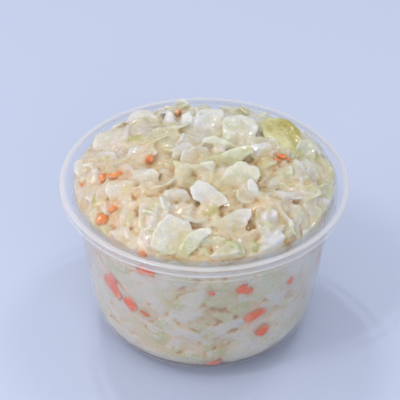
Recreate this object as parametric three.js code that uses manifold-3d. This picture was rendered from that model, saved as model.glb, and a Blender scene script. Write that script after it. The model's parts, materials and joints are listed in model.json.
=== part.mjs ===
// A round clear plastic deli cup, heaped above its rim with creamy coleslaw.
//
// Units are millimetres and +Z is up. The origin is in the middle of the flat foot ring that the
// cup stands on. Angles are in degrees, counted from +X towards +Y.
//
//   cup   one thin wall turned round Z: foot ring, rounded lower corner, stacking ledge, hooked lip
//   slaw  one solid: a core that fills the cup and rises in a mound, with the cabbage flakes,
//         shreds, ribs and carrot bits that show fused onto it, on the mound and against the wall

import * as THREE from 'three';
import { mergeVertices } from 'three/addons/utils/BufferGeometryUtils.js';
import Module from 'manifold-3d';

// ---------------------------------------------------------------- driving dimensions

const RIM_RADIUS = 50.5; // outside of the lip
const CUP_HEIGHT = 61;
const WALL = 0.7;
const FOOT_RADIUS = 32; // outside of the foot ring
const FOOT_WIDTH = 1.6;
const FOOT_LIFT = 1; // underside of the floor, above the surface it stands on
const CORNER_RADIUS = 14; // the rounded lower corner, measured outside
const CORNER_OUT = 41; // wall radius where the corner ends
const WALL_TOP_RADIUS = 45.2; // wall radius just below the stacking ledge
const LEDGE_DROP = 6.8; // from the rim down to the ledge
const LEDGE_STEP = 1.3; // how far the wall steps out above the ledge
const SKIRT_DROP = 3; // the lip's hooked edge, which a lid snaps over
const LIP_ROUND = 0.5;
const TURN_SEGMENTS = 60;

const GAP = 0.4; // between the slaw and the plastic
const FLAKE_RELIEF = 1.1; // flakes against the wall stand this far out of the core
const FILL_LEVEL = 1; // the slaw meets the wall this far below the rim
const MOUND_HEIGHT = 12; // rise of the mound above that
const MOUND_SPREAD = 46; // radius at which the mound has run out
const CORE_SINK = 1; // the core's top lies this far under the heap's surface

const TOP_FLAKES = 58;
const TOP_SHREDS = 14;
const WALL_ROWS = 4;
const WALL_COLUMNS = 10;
const FACET_TOLERANCE = 0.1; // joined facets this nearly flat become one
const HAIR = 0.004;

// ---------------------------------------------------------------- small tools

const wasm = await Module();
wasm.setup();

const radians = THREE.MathUtils.degToRad;

// The same sequence of numbers between 0 and 1 for the same seed.
function randomNumbers(seed) {
  let state = seed;
  return (low = 0, high = 1) => {
    state = (state + 0x6d2b79f5) | 0;
    let mixed = Math.imul(state ^ (state >>> 15), 1 | state);
    mixed = (mixed + Math.imul(mixed ^ (mixed >>> 7), 61 | mixed)) ^ mixed;
    return low + (high - low) * (((mixed ^ (mixed >>> 14)) >>> 0) / 4294967296);
  };
}

// Position only, shared vertices merged, and no triangle left that has lost its area at a pole.
function welded(geometry) {
  const bare = geometry.clone();
  bare.deleteAttribute('normal');
  bare.deleteAttribute('uv');
  const merged = mergeVertices(bare, 1e-4);
  const corners = merged.index.array;
  const kept = [];
  for (let i = 0; i < corners.length; i += 3) {
    const [a, b, c] = [corners[i], corners[i + 1], corners[i + 2]];
    if (a !== b && b !== c && c !== a) kept.push(a, b, c);
  }
  merged.setIndex(kept);
  return merged;
}

function solidOf(geometry) {
  const mesh = welded(geometry);
  const solidFrom = (corners) =>
    new wasm.Manifold(
      new wasm.Mesh({
        numProp: 3,
        vertProperties: Float32Array.from(mesh.attributes.position.array),
        triVerts: Uint32Array.from(corners),
      }),
    );
  const corners = [...mesh.index.array];
  const made = solidFrom(corners);
  return made.volume() > 0 ? made : solidFrom(corners.reverse());
}

function geometryOf(solid) {
  const mesh = solid.getMesh();
  const geometry = new THREE.BufferGeometry();
  geometry.setAttribute('position', new THREE.BufferAttribute(mesh.vertProperties, 3));
  geometry.setIndex([...mesh.triVerts]);
  geometry.computeVertexNormals();
  return geometry;
}

// A profile of [radius, height] pairs that starts and ends on the axis, turned round Z.
function turned(profile) {
  const points = profile.map(([radius, height]) => new THREE.Vector2(radius, height));
  return new THREE.LatheGeometry(points, TURN_SEGMENTS).rotateX(Math.PI / 2);
}

// ---------------------------------------------------------------- the cup

// Outside radius of the wall, from the foot to just below the ledge.
function wallRadius(height) {
  const cornerTop = FOOT_LIFT + CORNER_RADIUS;
  if (height < cornerTop) {
    const below = cornerTop - height;
    const across = Math.sqrt(Math.max(CORNER_RADIUS ** 2 - below ** 2, 0));
    return CORNER_OUT - CORNER_RADIUS + across;
  }
  const ledge = CUP_HEIGHT - LEDGE_DROP;
  const along = Math.min((height - cornerTop) / (ledge - cornerTop), 1);
  return THREE.MathUtils.lerp(CORNER_OUT, WALL_TOP_RADIUS, along);
}

// The rounded lower corner as [radius, height] pairs, going up, set in by a distance.
function cornerArc(inset, steps) {
  const arc = [];
  for (let step = 0; step <= steps; step++) {
    const angle = (Math.PI / 2) * (step / steps);
    const radius = CORNER_RADIUS - inset;
    arc.push([
      CORNER_OUT - CORNER_RADIUS + radius * Math.sin(angle),
      FOOT_LIFT + CORNER_RADIUS - radius * Math.cos(angle),
    ]);
  }
  return arc;
}

// The inner face of the cup, going up from the floor's middle, set in by a distance from it.
function innerFace(inset) {
  const depth = WALL + inset;
  const ledge = CUP_HEIGHT - LEDGE_DROP;
  return [
    [0, FOOT_LIFT + depth],
    ...cornerArc(depth, 6),
    [WALL_TOP_RADIUS - depth, ledge],
    [WALL_TOP_RADIUS + LEDGE_STEP - depth, ledge + LEDGE_STEP],
    [WALL_TOP_RADIUS + LEDGE_STEP - depth, CUP_HEIGHT - LIP_ROUND],
  ];
}

function cupGeometry() {
  const ledge = CUP_HEIGHT - LEDGE_DROP;
  const neck = WALL_TOP_RADIUS + LEDGE_STEP; // outside of the wall between the ledge and the lip
  const outside = [
    [0, FOOT_LIFT],
    [FOOT_RADIUS - FOOT_WIDTH, FOOT_LIFT],
    [FOOT_RADIUS - FOOT_WIDTH, 0],
    [FOOT_RADIUS, 0],
    ...cornerArc(0, 7).filter(([radius]) => radius > FOOT_RADIUS),
    [WALL_TOP_RADIUS, ledge - 1],
    [neck, ledge + 0.3],
    [neck, CUP_HEIGHT - WALL],
    [RIM_RADIUS - WALL, CUP_HEIGHT - WALL],
    [RIM_RADIUS - WALL, CUP_HEIGHT - SKIRT_DROP],
    [RIM_RADIUS, CUP_HEIGHT - SKIRT_DROP],
    [RIM_RADIUS, CUP_HEIGHT - LIP_ROUND],
    [RIM_RADIUS - LIP_ROUND, CUP_HEIGHT],
    [neck - WALL + LIP_ROUND, CUP_HEIGHT],
  ];
  return turned([...outside, ...innerFace(0).reverse()]);
}

// ---------------------------------------------------------------- the heap

// Height of the heap's surface over a point of the rim's plane: a flat-topped mound, uneven, and
// lower where it leaves the wall bare at the back left.
function heapHeight(x, y) {
  const radius = Math.hypot(x, y);
  const mound = MOUND_HEIGHT * (1 - (radius / MOUND_SPREAD) ** 4);
  const lumps =
    1.1 * Math.sin(x / 3.4 + 1) * Math.cos(y / 4.1 + 0.4) + 0.9 * Math.cos((x + y) / 5 + 2);
  const dent = 4.5 * Math.exp(-((x + 29) ** 2 + (y - 33) ** 2) / 81);
  return CUP_HEIGHT - FILL_LEVEL + mound + lumps - dent;
}

function heapNormal(x, y) {
  const step = 1.5;
  const slopeX = (heapHeight(x + step, y) - heapHeight(x - step, y)) / (2 * step);
  const slopeY = (heapHeight(x, y + step) - heapHeight(x, y - step)) / (2 * step);
  return new THREE.Vector3(-slopeX, -slopeY, 1).normalize();
}

// A closed surface over rings of vertices, each ring going round counter-clockwise, with a single
// vertex at each end.
function ringedSolid(first, rings, last) {
  const across = rings[0].length;
  const positions = [...first, ...rings.flat(2), ...last];
  const corners = [];
  const at = (ring, column) => 1 + ring * across + (column % across);
  for (let column = 0; column < across; column++) {
    corners.push(0, at(0, column + 1), at(0, column));
    for (let ring = 0; ring + 1 < rings.length; ring++) {
      corners.push(at(ring, column), at(ring, column + 1), at(ring + 1, column));
      corners.push(at(ring, column + 1), at(ring + 1, column + 1), at(ring + 1, column));
    }
    const top = rings.length - 1;
    corners.push(at(top, column), at(top, column + 1), 1 + rings.length * across);
  }
  const geometry = new THREE.BufferGeometry();
  geometry.setAttribute('position', new THREE.Float32BufferAttribute(positions, 3));
  geometry.setIndex(corners);
  return geometry;
}

// The plain body under the flakes: the cup's inside, set in all round, closed by the heap's
// surface a little lower down.
function coreGeometry() {
  const columns = 36;
  const inset = GAP + FLAKE_RELIEF;
  const depth = WALL + inset;
  const floor = FOOT_LIFT + depth;
  const ringAt = (radius, heightAt) =>
    Array.from({ length: columns }, (_, column) => {
      const angle = (2 * Math.PI * column) / columns;
      const x = radius * Math.cos(angle);
      const y = radius * Math.sin(angle);
      return [x, y, heightAt(x, y)];
    });
  const ledge = CUP_HEIGHT - LEDGE_DROP;
  const rimmost = WALL_TOP_RADIUS + LEDGE_STEP - WALL - 2 * GAP;
  const side = [
    ...cornerArc(depth, 4),
    [wallRadius(28) - depth, 28],
    [wallRadius(42) - depth, 42],
    [WALL_TOP_RADIUS - depth, ledge],
    [rimmost, ledge + LEDGE_STEP],
  ];
  const under = (x, y) => heapHeight(x, y) - CORE_SINK;
  const rings = side.map(([radius, height]) => ringAt(radius, () => height));
  for (const share of [1, 0.94, 0.82, 0.66, 0.48, 0.28, 0.12]) {
    rings.push(ringAt(rimmost * share, under));
  }
  return ringedSolid([0, 0, floor], rings, [0, 0, under(0, 0)]);
}

// ---------------------------------------------------------------- pieces of vegetable

// A piece of leaf lying in the XY plane: a thin solid with an uneven outline, bent down on both
// sides of its length by sag and rippled by wave. Both faces are split alike, a plain one's
// without the ring between its middle and its edge.
function leafGeometry(leaf, random) {
  const { length, width, thickness, sides = 8, sag = 0, wave = 0, ragged = 0.14, plain = false } = leaf;
  const outline = Array.from({ length: sides }, (_, side) => {
    const angle = (2 * Math.PI * (side + random(-0.25, 0.25))) / sides;
    const reach = 1 + random(-ragged, ragged);
    return [0.5 * length * reach * Math.cos(angle), 0.5 * width * reach * Math.sin(angle)];
  });
  const phase = random(0, 6);
  const heightAt = (x, y) =>
    wave * Math.sin((5 * x) / length + phase) - sag * ((2 * y) / width) ** 2;
  const face = (share, half) =>
    outline.map(([x, y]) => [share * x, share * y, heightAt(share * x, share * y) + half]);
  const half = thickness / 2;
  const edge = [face(1, -0.6 * half), face(1, 0.6 * half)];
  const rings = plain ? edge : [face(0.6, -half), ...edge, face(0.6, half)];
  return ringedSolid([0, 0, heightAt(0, 0) - half], rings, [0, 0, heightAt(0, 0) + half]);
}

// A shred: a strip along X that bows up or down by bow and sideways by sweep, and is twisted
// through an angle.
function shredGeometry({ length, width, thickness, bow = 0, sweep = 0, twist = 0, steps = 4 }) {
  const geometry = new THREE.BoxGeometry(length, width, thickness, steps, 1, 1);
  const place = geometry.attributes.position;
  const vertex = new THREE.Vector3();
  for (let i = 0; i < place.count; i++) {
    vertex.fromBufferAttribute(place, i);
    const along = (2 * vertex.x) / length;
    const taper = 1 - 0.35 * along ** 2;
    vertex.set(vertex.x, vertex.y * taper, vertex.z * taper);
    vertex.applyAxisAngle(new THREE.Vector3(1, 0, 0), radians(twist) * along);
    vertex.y += sweep * along ** 2;
    vertex.z += bow * along ** 2;
    place.setXYZ(i, vertex.x, vertex.y, vertex.z);
  }
  return geometry;
}

// A diced bit of carrot or of cabbage rib: a small block with its corners knocked about.
function diceGeometry({ length, width, thickness }, random) {
  const geometry = welded(new THREE.BoxGeometry(length, width, thickness));
  const place = geometry.attributes.position;
  for (let i = 0; i < place.count; i++) {
    place.setXYZ(
      i,
      place.getX(i) * random(0.72, 1),
      place.getY(i) * random(0.72, 1),
      place.getZ(i) * random(0.85, 1),
    );
  }
  return geometry;
}

// A rounded chunk of cabbage heart.
function nuggetGeometry({ length, width, thickness }) {
  return new THREE.IcosahedronGeometry(0.5, 1).scale(length, width, thickness);
}

// Puts a piece on the heap at x, y: turned about the heap's own normal, then leaned over its
// length by tip and over its width by lean, and raised by lift.
function onHeap(geometry, { x, y, turn = 0, lean = 0, tip = 0, lift = 0 }) {
  const normal = heapNormal(x, y);
  const upright = new THREE.Quaternion().setFromUnitVectors(new THREE.Vector3(0, 0, 1), normal);
  const spin = new THREE.Quaternion().setFromEuler(
    new THREE.Euler(radians(lean), radians(tip), radians(turn), 'ZYX'),
  );
  const place = new THREE.Vector3(x, y, heapHeight(x, y)).addScaledVector(normal, lift);
  const size = new THREE.Vector3(1, 1, 1);
  return geometry.applyMatrix4(new THREE.Matrix4().compose(place, upright.multiply(spin), size));
}

// Lays a flat piece against the wall at an angle and a height, curved to the cup. Its outer face
// comes to the gap and its inner face lies in the core.
function againstWall(geometry, { angle, height, turn = 0 }) {
  const place = geometry.attributes.position;
  const spin = radians(turn);
  for (let i = 0; i < place.count; i++) {
    const along = place.getX(i) * Math.cos(spin) - place.getY(i) * Math.sin(spin);
    const up = place.getX(i) * Math.sin(spin) + place.getY(i) * Math.cos(spin);
    const z = Math.max(height + up, FOOT_LIFT + WALL + GAP);
    const radius = wallRadius(z) - WALL - GAP - FLAKE_RELIEF + place.getZ(i);
    const bearing = radians(angle) + along / radius;
    place.setXYZ(i, radius * Math.cos(bearing), radius * Math.sin(bearing), z);
  }
  return geometry;
}

// ---------------------------------------------------------------- what lies on the heap

// The largest pieces, each where it lies on the mound.
const LARGE_LEAVES = [
  // the green outer leaf at the back right, and the pale slabs beside it
  { x: 28, y: 13, length: 17, width: 12.5, thickness: 1.2, turn: -62, lean: 8, sag: 1.2, lift: 0.6, sides: 9 },
  { x: 13, y: 12, length: 20, width: 13, thickness: 1.8, turn: -28, lean: 12, tip: -4, sag: 1, lift: 0.6, sides: 9 },
  { x: -1, y: 20, length: 17, width: 14, thickness: 2, turn: 20, lean: -14, sag: 1.4, lift: 0.4, sides: 9 },
  // the folded leaf that curls round a hollow just behind the middle
  { x: 12.5, y: 0.5, length: 23, width: 7, thickness: 1.4, turn: 18, lean: -38, wave: 0.8, lift: 0.9 },
  { x: 3, y: 6, length: 16, width: 6.5, thickness: 1.5, turn: 8, lean: 34, wave: 0.5, lift: 0.8 },
  { x: -9, y: -2, length: 14, width: 6, thickness: 1.5, turn: 62, lean: 28, wave: 0.5, lift: 0.4 },
  { x: -5, y: 11, length: 15, width: 9, thickness: 1.6, turn: 58, lean: 24, sag: 1, lift: 0.8 },
  // flakes across the middle
  { x: 3, y: -20, length: 14, width: 9.5, thickness: 1.8, turn: -38, lean: -22, sag: 1, lift: 1.1 },
  { x: 13, y: -9, length: 15, width: 10.5, thickness: 1.8, turn: 42, lean: -26, sag: 1.2, lift: 0.9, sides: 9 },
  { x: -10.5, y: -22, length: 16, width: 8, thickness: 1.8, turn: 14, lean: -24, sag: 0.8, lift: 0.9 },
  { x: 9, y: -28, length: 15, width: 8, thickness: 1.9, turn: 14, lean: -20, sag: 1, lift: 1 },
  { x: 15.5, y: -28, length: 9, width: 5.5, thickness: 1.8, turn: 64, lean: -20, sag: 0.8, lift: 1.2 },
  // the broad flake, the curled scoop and the round flakes at the front
  { x: -11, y: -35, length: 18, width: 13, thickness: 1.8, turn: -8, lean: 14, sag: 1.5, lift: 1, sides: 9 },
  { x: -3, y: -38, length: 15, width: 8, thickness: 1.5, turn: 60, lean: 26, sag: -1.6, lift: 1.2 },
  { x: 8, y: -40, length: 12, width: 8.5, thickness: 2, turn: -18, lean: 10, sag: 1, lift: 1 },
  { x: 21, y: -35, length: 12, width: 7, thickness: 1.8, turn: 20, lean: 12, sag: 1.4, lift: 1.2 },
  // the soft pale lump at the back left and the flat flakes on the left
  { x: -20, y: 19, length: 15, width: 12, thickness: 3, turn: 35, lean: 6, sag: 1.6, lift: 1.4, sides: 9 },
  { x: -31, y: 6, length: 15, width: 9, thickness: 1.8, turn: 18, lean: 8, sag: 0.6, lift: 0.3 },
  { x: -27, y: -18, length: 18, width: 8, thickness: 1.8, turn: 24, lean: -8, sag: 0.6, lift: 0.4 },
  { x: -20, y: -29, length: 16, width: 6, thickness: 1.8, turn: 58, lean: -12, sag: 0.8, lift: 0.8 },
  { x: 33, y: -16, length: 14, width: 6, thickness: 1.5, turn: 70, lean: 20, sag: 0.6, lift: 0.5 },
  { x: 36, y: 4, length: 14, width: 7, thickness: 1.5, turn: 95, lean: 10, sag: 0.6, lift: 0.3 },
];

const NUGGETS = [
  { x: 22.4, y: -27, length: 6.5, width: 5.5, thickness: 5, lift: 0.5 },
  { x: 26, y: -10, length: 7, width: 5.5, thickness: 4.5, lift: 0.4, turn: 40 },
  { x: -8, y: 24, length: 9, width: 6, thickness: 5, lift: 0.5, turn: 70 },
  { x: -17, y: 1, length: 8, width: 6, thickness: 4.5, lift: 0.3, turn: 20 },
];

const CARROT_ON_TOP = [
  { x: -19.1, y: -4.4, length: 3.2, width: 3 },
  { x: -34.4, y: -11.8, length: 3.8, width: 3 },
  { x: -29.5, y: -12, length: 7.5, width: 1.9, turn: 12 },
  { x: -41.6, y: -8, length: 2.6, width: 2, turn: 30 },
  { x: -29.7, y: -23.4, length: 4, width: 2.4, turn: 50 },
  { x: -34, y: -25.2, length: 4.4, width: 3.8, turn: 20 },
  { x: 26.4, y: -1.5, length: 4.6, width: 3, turn: -20 },
  { x: -19, y: -39.2, length: 3.8, width: 2.8, turn: 50 },
  { x: -38.4, y: 14.5, length: 4, width: 1.3, turn: 70 },
  { x: -9.9, y: 26.5, length: 2.4, width: 1.6, turn: 60 },
];

const CARROT_AT_WALL = [
  { angle: -136, height: 36.5, length: 10.5, width: 3, turn: -58 },
  { angle: -125, height: 32.5, length: 5.6, width: 3.2, turn: -48 },
  { angle: -116, height: 50, length: 7.5, width: 3, turn: -30 },
  { angle: -72, height: 45, length: 3.2, width: 2.8 },
  { angle: -68, height: 43.5, length: 3, width: 2 },
  { angle: -63, height: 31, length: 6.5, width: 3.4, turn: 10 },
  { angle: -59, height: 21.8, length: 4, width: 3.2, turn: 20 },
  { angle: -48, height: 41, length: 3, width: 3 },
];

function topPieces() {
  const random = randomNumbers(11);
  const pieces = LARGE_LEAVES.map((leaf) => onHeap(leafGeometry(leaf, random), leaf));
  pieces.push(...NUGGETS.map((nugget) => onHeap(nuggetGeometry(nugget), nugget)));

  // Smaller flakes evenly over the rest of the mound, on a sunflower spiral.
  const goldenTurn = 137.508;
  const reach = MOUND_SPREAD - 3.5;
  for (let i = 0; i < TOP_FLAKES; i++) {
    const radius = reach * Math.sqrt((i + 0.5) / TOP_FLAKES) + random(-1.2, 1.2);
    const angle = radians(goldenTurn * i + random(-6, 6));
    const length = random(7, 12.5);
    const leaf = {
      x: radius * Math.cos(angle),
      y: radius * Math.sin(angle),
      length,
      width: length * random(0.5, 0.85),
      thickness: random(1.3, 2.2),
      sides: 6,
      plain: true,
      turn: random(0, 360),
      lean: random(-30, 30),
      tip: random(-14, 14),
      sag: random(0.2, 1.2),
      wave: random(0, 0.5),
      lift: random(-0.5, 0.7),
    };
    pieces.push(onHeap(leafGeometry(leaf, random), leaf));
  }

  // Fine shreds, most of them lying round the right-hand side.
  for (let i = 0; i < TOP_SHREDS; i++) {
    const radius = random(24, 41);
    const angle = radians(i % 3 === 0 ? random(90, 280) : random(-75, 60));
    const shred = {
      x: radius * Math.cos(angle),
      y: radius * Math.sin(angle),
      length: random(8, 15),
      width: random(1.5, 2.3),
      thickness: random(1.1, 1.6),
      bow: random(-1.8, 0.4),
      sweep: random(-2, 2),
      twist: random(-40, 40),
      turn: random(0, 360),
      lift: random(0.3, 1.1),
    };
    pieces.push(onHeap(shredGeometry(shred), shred));
  }

  const bit = { thickness: 2.2, lift: 1.5 };
  for (const carrot of CARROT_ON_TOP) {
    pieces.push(onHeap(diceGeometry({ ...bit, ...carrot }, random), { ...bit, ...carrot }));
  }
  return pieces;
}

// Flakes pressed flat against the plastic in staggered rows, with bits of carrot among them.
function wallPieces() {
  const random = randomNumbers(29);
  const pieces = [];
  const lowest = 9;
  const highest = CUP_HEIGHT - LEDGE_DROP - 4;
  for (let row = 0; row < WALL_ROWS; row++) {
    for (let column = 0; column < WALL_COLUMNS; column++) {
      const length = random(9, 15);
      const leaf = {
        length,
        width: length * random(0.5, 0.75),
        thickness: random(1.6, 2) * FLAKE_RELIEF,
        sides: 6,
        plain: true,
      };
      const place = {
        angle: (360 * (column + 0.5 * (row % 2) + random(-0.2, 0.2))) / WALL_COLUMNS,
        height: THREE.MathUtils.lerp(lowest, highest, row / (WALL_ROWS - 1)) + random(-2, 2),
        turn: random(-60, 60),
      };
      pieces.push(againstWall(leafGeometry(leaf, random), place));
    }
  }
  for (const carrot of CARROT_AT_WALL) {
    const block = diceGeometry({ thickness: 2 * FLAKE_RELIEF, ...carrot }, random);
    pieces.push(againstWall(block, carrot));
  }
  return pieces;
}

// Everything inside the cup and over it that keeps the gap to the plastic.
function clearSpace() {
  const ceiling = CUP_HEIGHT + 2 * MOUND_HEIGHT;
  const face = innerFace(GAP);
  const rimmost = face[face.length - 1][0];
  return turned([...face, [rimmost, ceiling], [0, ceiling]]);
}

function slawGeometry() {
  let heap = solidOf(coreGeometry());
  for (const piece of [...topPieces(), ...wallPieces()]) heap = heap.add(solidOf(piece));
  heap = heap.intersect(solidOf(clearSpace()));
  // The largest outer shell alone: without loose scraps and without sealed hollows.
  const shells = heap.decompose().sort((a, b) => b.volume() - a.volume());
  return drawnIn(geometryOf(shells[0].asOriginal().simplify(FACET_TOLERANCE)), HAIR);
}

// The surface moved inwards by a hair, so that faces that only touch at an edge come apart.
function drawnIn(geometry, distance) {
  const place = geometry.attributes.position;
  const normal = geometry.attributes.normal;
  for (let i = 0; i < place.count; i++) {
    place.setXYZ(
      i,
      place.getX(i) - distance * normal.getX(i),
      place.getY(i) - distance * normal.getY(i),
      place.getZ(i) - distance * normal.getZ(i),
    );
  }
  return geometry;
}

// ---------------------------------------------------------------- the part

function clearPlastic() {
  return new THREE.MeshStandardMaterial({
    color: 0xdfe6f2,
    roughness: 0.18,
    metalness: 0,
    transparent: true,
    opacity: 0.35,
  });
}

function creamySlaw() {
  return new THREE.MeshStandardMaterial({ color: 0xe6dfc6, roughness: 0.35, metalness: 0 });
}

const cup = new THREE.Mesh(cupGeometry(), clearPlastic());
cup.name = 'cup';

const slaw = new THREE.Mesh(slawGeometry(), creamySlaw());
slaw.name = 'slaw';

const coleslaw = new THREE.Group();
coleslaw.add(cup, slaw);

export default coleslaw;
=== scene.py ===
import json
import math

import bmesh
import bpy
import numpy as np
from mathutils import Euler, Matrix, Vector
from mathutils.kdtree import KDTree

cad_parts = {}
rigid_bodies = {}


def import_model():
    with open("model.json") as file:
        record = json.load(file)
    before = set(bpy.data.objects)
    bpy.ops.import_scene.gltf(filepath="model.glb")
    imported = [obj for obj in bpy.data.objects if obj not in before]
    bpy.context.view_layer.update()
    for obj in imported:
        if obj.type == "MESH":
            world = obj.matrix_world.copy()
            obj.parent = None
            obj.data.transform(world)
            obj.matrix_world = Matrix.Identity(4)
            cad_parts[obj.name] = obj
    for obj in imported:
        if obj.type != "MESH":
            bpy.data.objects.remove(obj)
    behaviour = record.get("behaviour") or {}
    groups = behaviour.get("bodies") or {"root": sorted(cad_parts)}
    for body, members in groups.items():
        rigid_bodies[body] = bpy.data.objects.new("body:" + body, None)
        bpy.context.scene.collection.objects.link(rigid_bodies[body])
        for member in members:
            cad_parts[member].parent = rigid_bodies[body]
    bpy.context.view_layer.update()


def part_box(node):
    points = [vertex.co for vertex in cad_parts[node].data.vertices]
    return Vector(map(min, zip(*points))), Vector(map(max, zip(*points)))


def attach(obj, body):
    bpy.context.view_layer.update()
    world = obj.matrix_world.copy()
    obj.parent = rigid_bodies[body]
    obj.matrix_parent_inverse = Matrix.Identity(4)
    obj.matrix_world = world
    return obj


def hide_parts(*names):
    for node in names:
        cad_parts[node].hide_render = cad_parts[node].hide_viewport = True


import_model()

# A round clear plastic cup, heaped above its rim with creamy coleslaw. The script works in metres,
# +Z is up and the origin is in the middle of the foot ring. Sizes are written in millimetres and
# taken to metres by MM.
MM = 0.001

# ---------------------------------------------------------------- the cup
# One thin wall of clear polypropylene, injection moulded: a foot ring, a large rounded lower
# corner, a stacking ledge and a hooked lip that a lid snaps over. Nothing else is fixed to it.

_, cup_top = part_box("cup")
RIM_RADIUS = cup_top.x / MM
CUP_HEIGHT = cup_top.z / MM
WALL = 0.7
FOOT_RADIUS = 32.0
FOOT_WIDTH = 1.6
FOOT_LIFT = 1.0
CORNER_RADIUS = 14.0
CORNER_OUT = 41.0
WALL_TOP_RADIUS = 45.2
LEDGE = CUP_HEIGHT - 6.8
LEDGE_STEP = 1.3
NECK_RADIUS = WALL_TOP_RADIUS + LEDGE_STEP
SKIRT_DROP = 3.0
BEAD = CUP_HEIGHT - 9.4
CUP_TURN_STEPS = 168


def arc(centre, radius, start, end, steps):
    """Points of a circular arc as (radius, height) pairs, angles in degrees."""
    angles = np.radians(np.linspace(start, end, steps + 1))
    return [(centre[0] + radius * math.cos(a), centre[1] + radius * math.sin(a)) for a in angles]


def corner_arc(inset, steps):
    """The rounded lower corner, going up, set in from the outside of the wall."""
    centre = (CORNER_OUT - CORNER_RADIUS, FOOT_LIFT + CORNER_RADIUS)
    return arc(centre, CORNER_RADIUS - inset, -90, 0, steps)


def cup_profile():
    """The wall's section from the middle of its underside round to the middle of its floor."""
    floor = FOOT_LIFT + WALL
    gate = [(0, FOOT_LIFT + 0.25), (1.6, FOOT_LIFT + 0.25), (2.0, FOOT_LIFT)]
    foot_inside = FOOT_RADIUS - FOOT_WIDTH
    step = [(21.0, FOOT_LIFT), (21.3, FOOT_LIFT + 0.2), (foot_inside - 0.3, FOOT_LIFT + 0.2)]
    foot = [
        *arc((foot_inside + 0.3, 0.3), 0.3, 180, 270, 3),
        *arc((FOOT_RADIUS - 0.3, 0.3), 0.3, -90, 0, 3),
    ]
    corner = [p for p in corner_arc(0, 22) if p[0] > FOOT_RADIUS + 0.3]
    bead_steps = ((-0.25, -0.5), (-0.05, -0.2), (-0.05, 0.2), (-0.25, 0.5))
    bead = [(WALL_TOP_RADIUS + out, BEAD + up) for out, up in bead_steps]
    ledge_out = [
        (WALL_TOP_RADIUS - 0.05, LEDGE - 1.2),
        *arc((WALL_TOP_RADIUS + 0.65, LEDGE - 1.0), 0.65, 180, 110, 4),
        *arc((NECK_RADIUS - 0.6, LEDGE + 0.35), 0.6, -75, 0, 4),
    ]
    lip_under = [
        *arc((NECK_RADIUS + 0.5, CUP_HEIGHT - WALL - 0.5), 0.5, 180, 90, 4),
        *arc((RIM_RADIUS - WALL - 0.5, CUP_HEIGHT - WALL - 0.5), 0.5, 90, 0, 4),
    ]
    skirt = [
        *arc((RIM_RADIUS - 0.35, CUP_HEIGHT - SKIRT_DROP + 0.35), 0.35, 180, 360, 6),
        *arc((RIM_RADIUS - 0.55, CUP_HEIGHT - 0.55), 0.55, 0, 90, 5),
    ]
    lip_top = [
        (RIM_RADIUS - 1.3, CUP_HEIGHT),
        (RIM_RADIUS - 1.7, CUP_HEIGHT - 0.12),
        (RIM_RADIUS - 2.5, CUP_HEIGHT - 0.12),
        (RIM_RADIUS - 2.9, CUP_HEIGHT),
        *arc((NECK_RADIUS - WALL + 0.55, CUP_HEIGHT - 0.55), 0.55, 90, 180, 5),
    ]
    ledge_in = [
        *arc((NECK_RADIUS - WALL - 0.5, LEDGE + 1.1), 0.5, 0, -70, 4),
        *arc((WALL_TOP_RADIUS - WALL + 0.7, LEDGE - 0.3), 0.7, 110, 180, 4),
    ]
    inside = corner_arc(WALL, 22)[::-1]
    outside = [*gate, *step, *foot, *corner, *bead, *ledge_out, *lip_under, *skirt]
    return [*outside, *lip_top, *ledge_in, *inside, (0, floor)]


def placed_in_scene(name, mesh):
    """An object at the origin that shows a mesh, smoothly shaded."""
    mesh.polygons.foreach_set("use_smooth", [True] * len(mesh.polygons))
    piece = bpy.data.objects.new(name, mesh)
    bpy.context.scene.collection.objects.link(piece)
    return piece


def new_piece(name, vertices, faces):
    """A mesh object at the origin from vertices in millimetres."""
    mesh = bpy.data.meshes.new(name)
    points = (np.asarray(vertices, float) * MM).tolist()
    mesh.from_pydata(points, [], [tuple(map(int, face)) for face in faces])
    mesh.validate()
    return placed_in_scene(name, mesh)


def coordinates(piece):
    """The piece's vertices in millimetres."""
    flat = np.empty(len(piece.data.vertices) * 3, np.float32)
    piece.data.vertices.foreach_get("co", flat)
    return flat.reshape(-1, 3).astype(float) / MM


def store(piece, name, values):
    """Keeps a number for each vertex, which a material or a tree of nodes reads by its name."""
    attribute = piece.data.attributes.new(name, "FLOAT", "POINT")
    attribute.data.foreach_set("value", np.asarray(values, np.float32))


def turned(profile, steps):
    """Vertices and faces of a section turned round Z; its first and last point lie on the axis."""
    bearings = np.arange(steps) * 2 * math.pi / steps
    vertices = [(0, 0, profile[0][1])]
    for radius, height in profile[1:-1]:
        vertices += [(radius * math.cos(b), radius * math.sin(b), height) for b in bearings]
    vertices.append((0, 0, profile[-1][1]))
    rings = len(profile) - 2
    last = len(vertices) - 1
    faces = []
    for i in range(steps):
        j = (i + 1) % steps
        faces.append((0, 1 + j, 1 + i))
        for ring in range(rings - 1):
            low, high = 1 + ring * steps, 1 + (ring + 1) * steps
            faces.append((low + i, low + j, high + j, high + i))
        top = 1 + (rings - 1) * steps
        faces.append((top + i, top + j, last))
    return vertices, faces


def srgb(hex_colour):
    """A hex colour as linear red, green, blue and alpha."""
    channels = [int(hex_colour[i:i + 2], 16) / 255 for i in (1, 3, 5)]
    return (*[c / 12.92 if c <= 0.04045 else ((c + 0.055) / 1.055) ** 2.4 for c in channels], 1.0)


def add_node(tree, kind, settings=None, inputs=None):
    """Adds a node, sets its properties, and sets or links its inputs."""
    node = tree.nodes.new(kind)
    for name, value in (settings or {}).items():
        setattr(node, name, value)
    for key, value in (inputs or {}).items():
        if isinstance(value, bpy.types.NodeSocket):
            tree.links.new(value, node.inputs[key])
        else:
            node.inputs[key].default_value = value
    return node


def new_material(name):
    """A material without nodes, and its tree."""
    material = bpy.data.materials.new(name)
    material.use_nodes = True
    material.node_tree.nodes.clear()
    return material, material.node_tree


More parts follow.
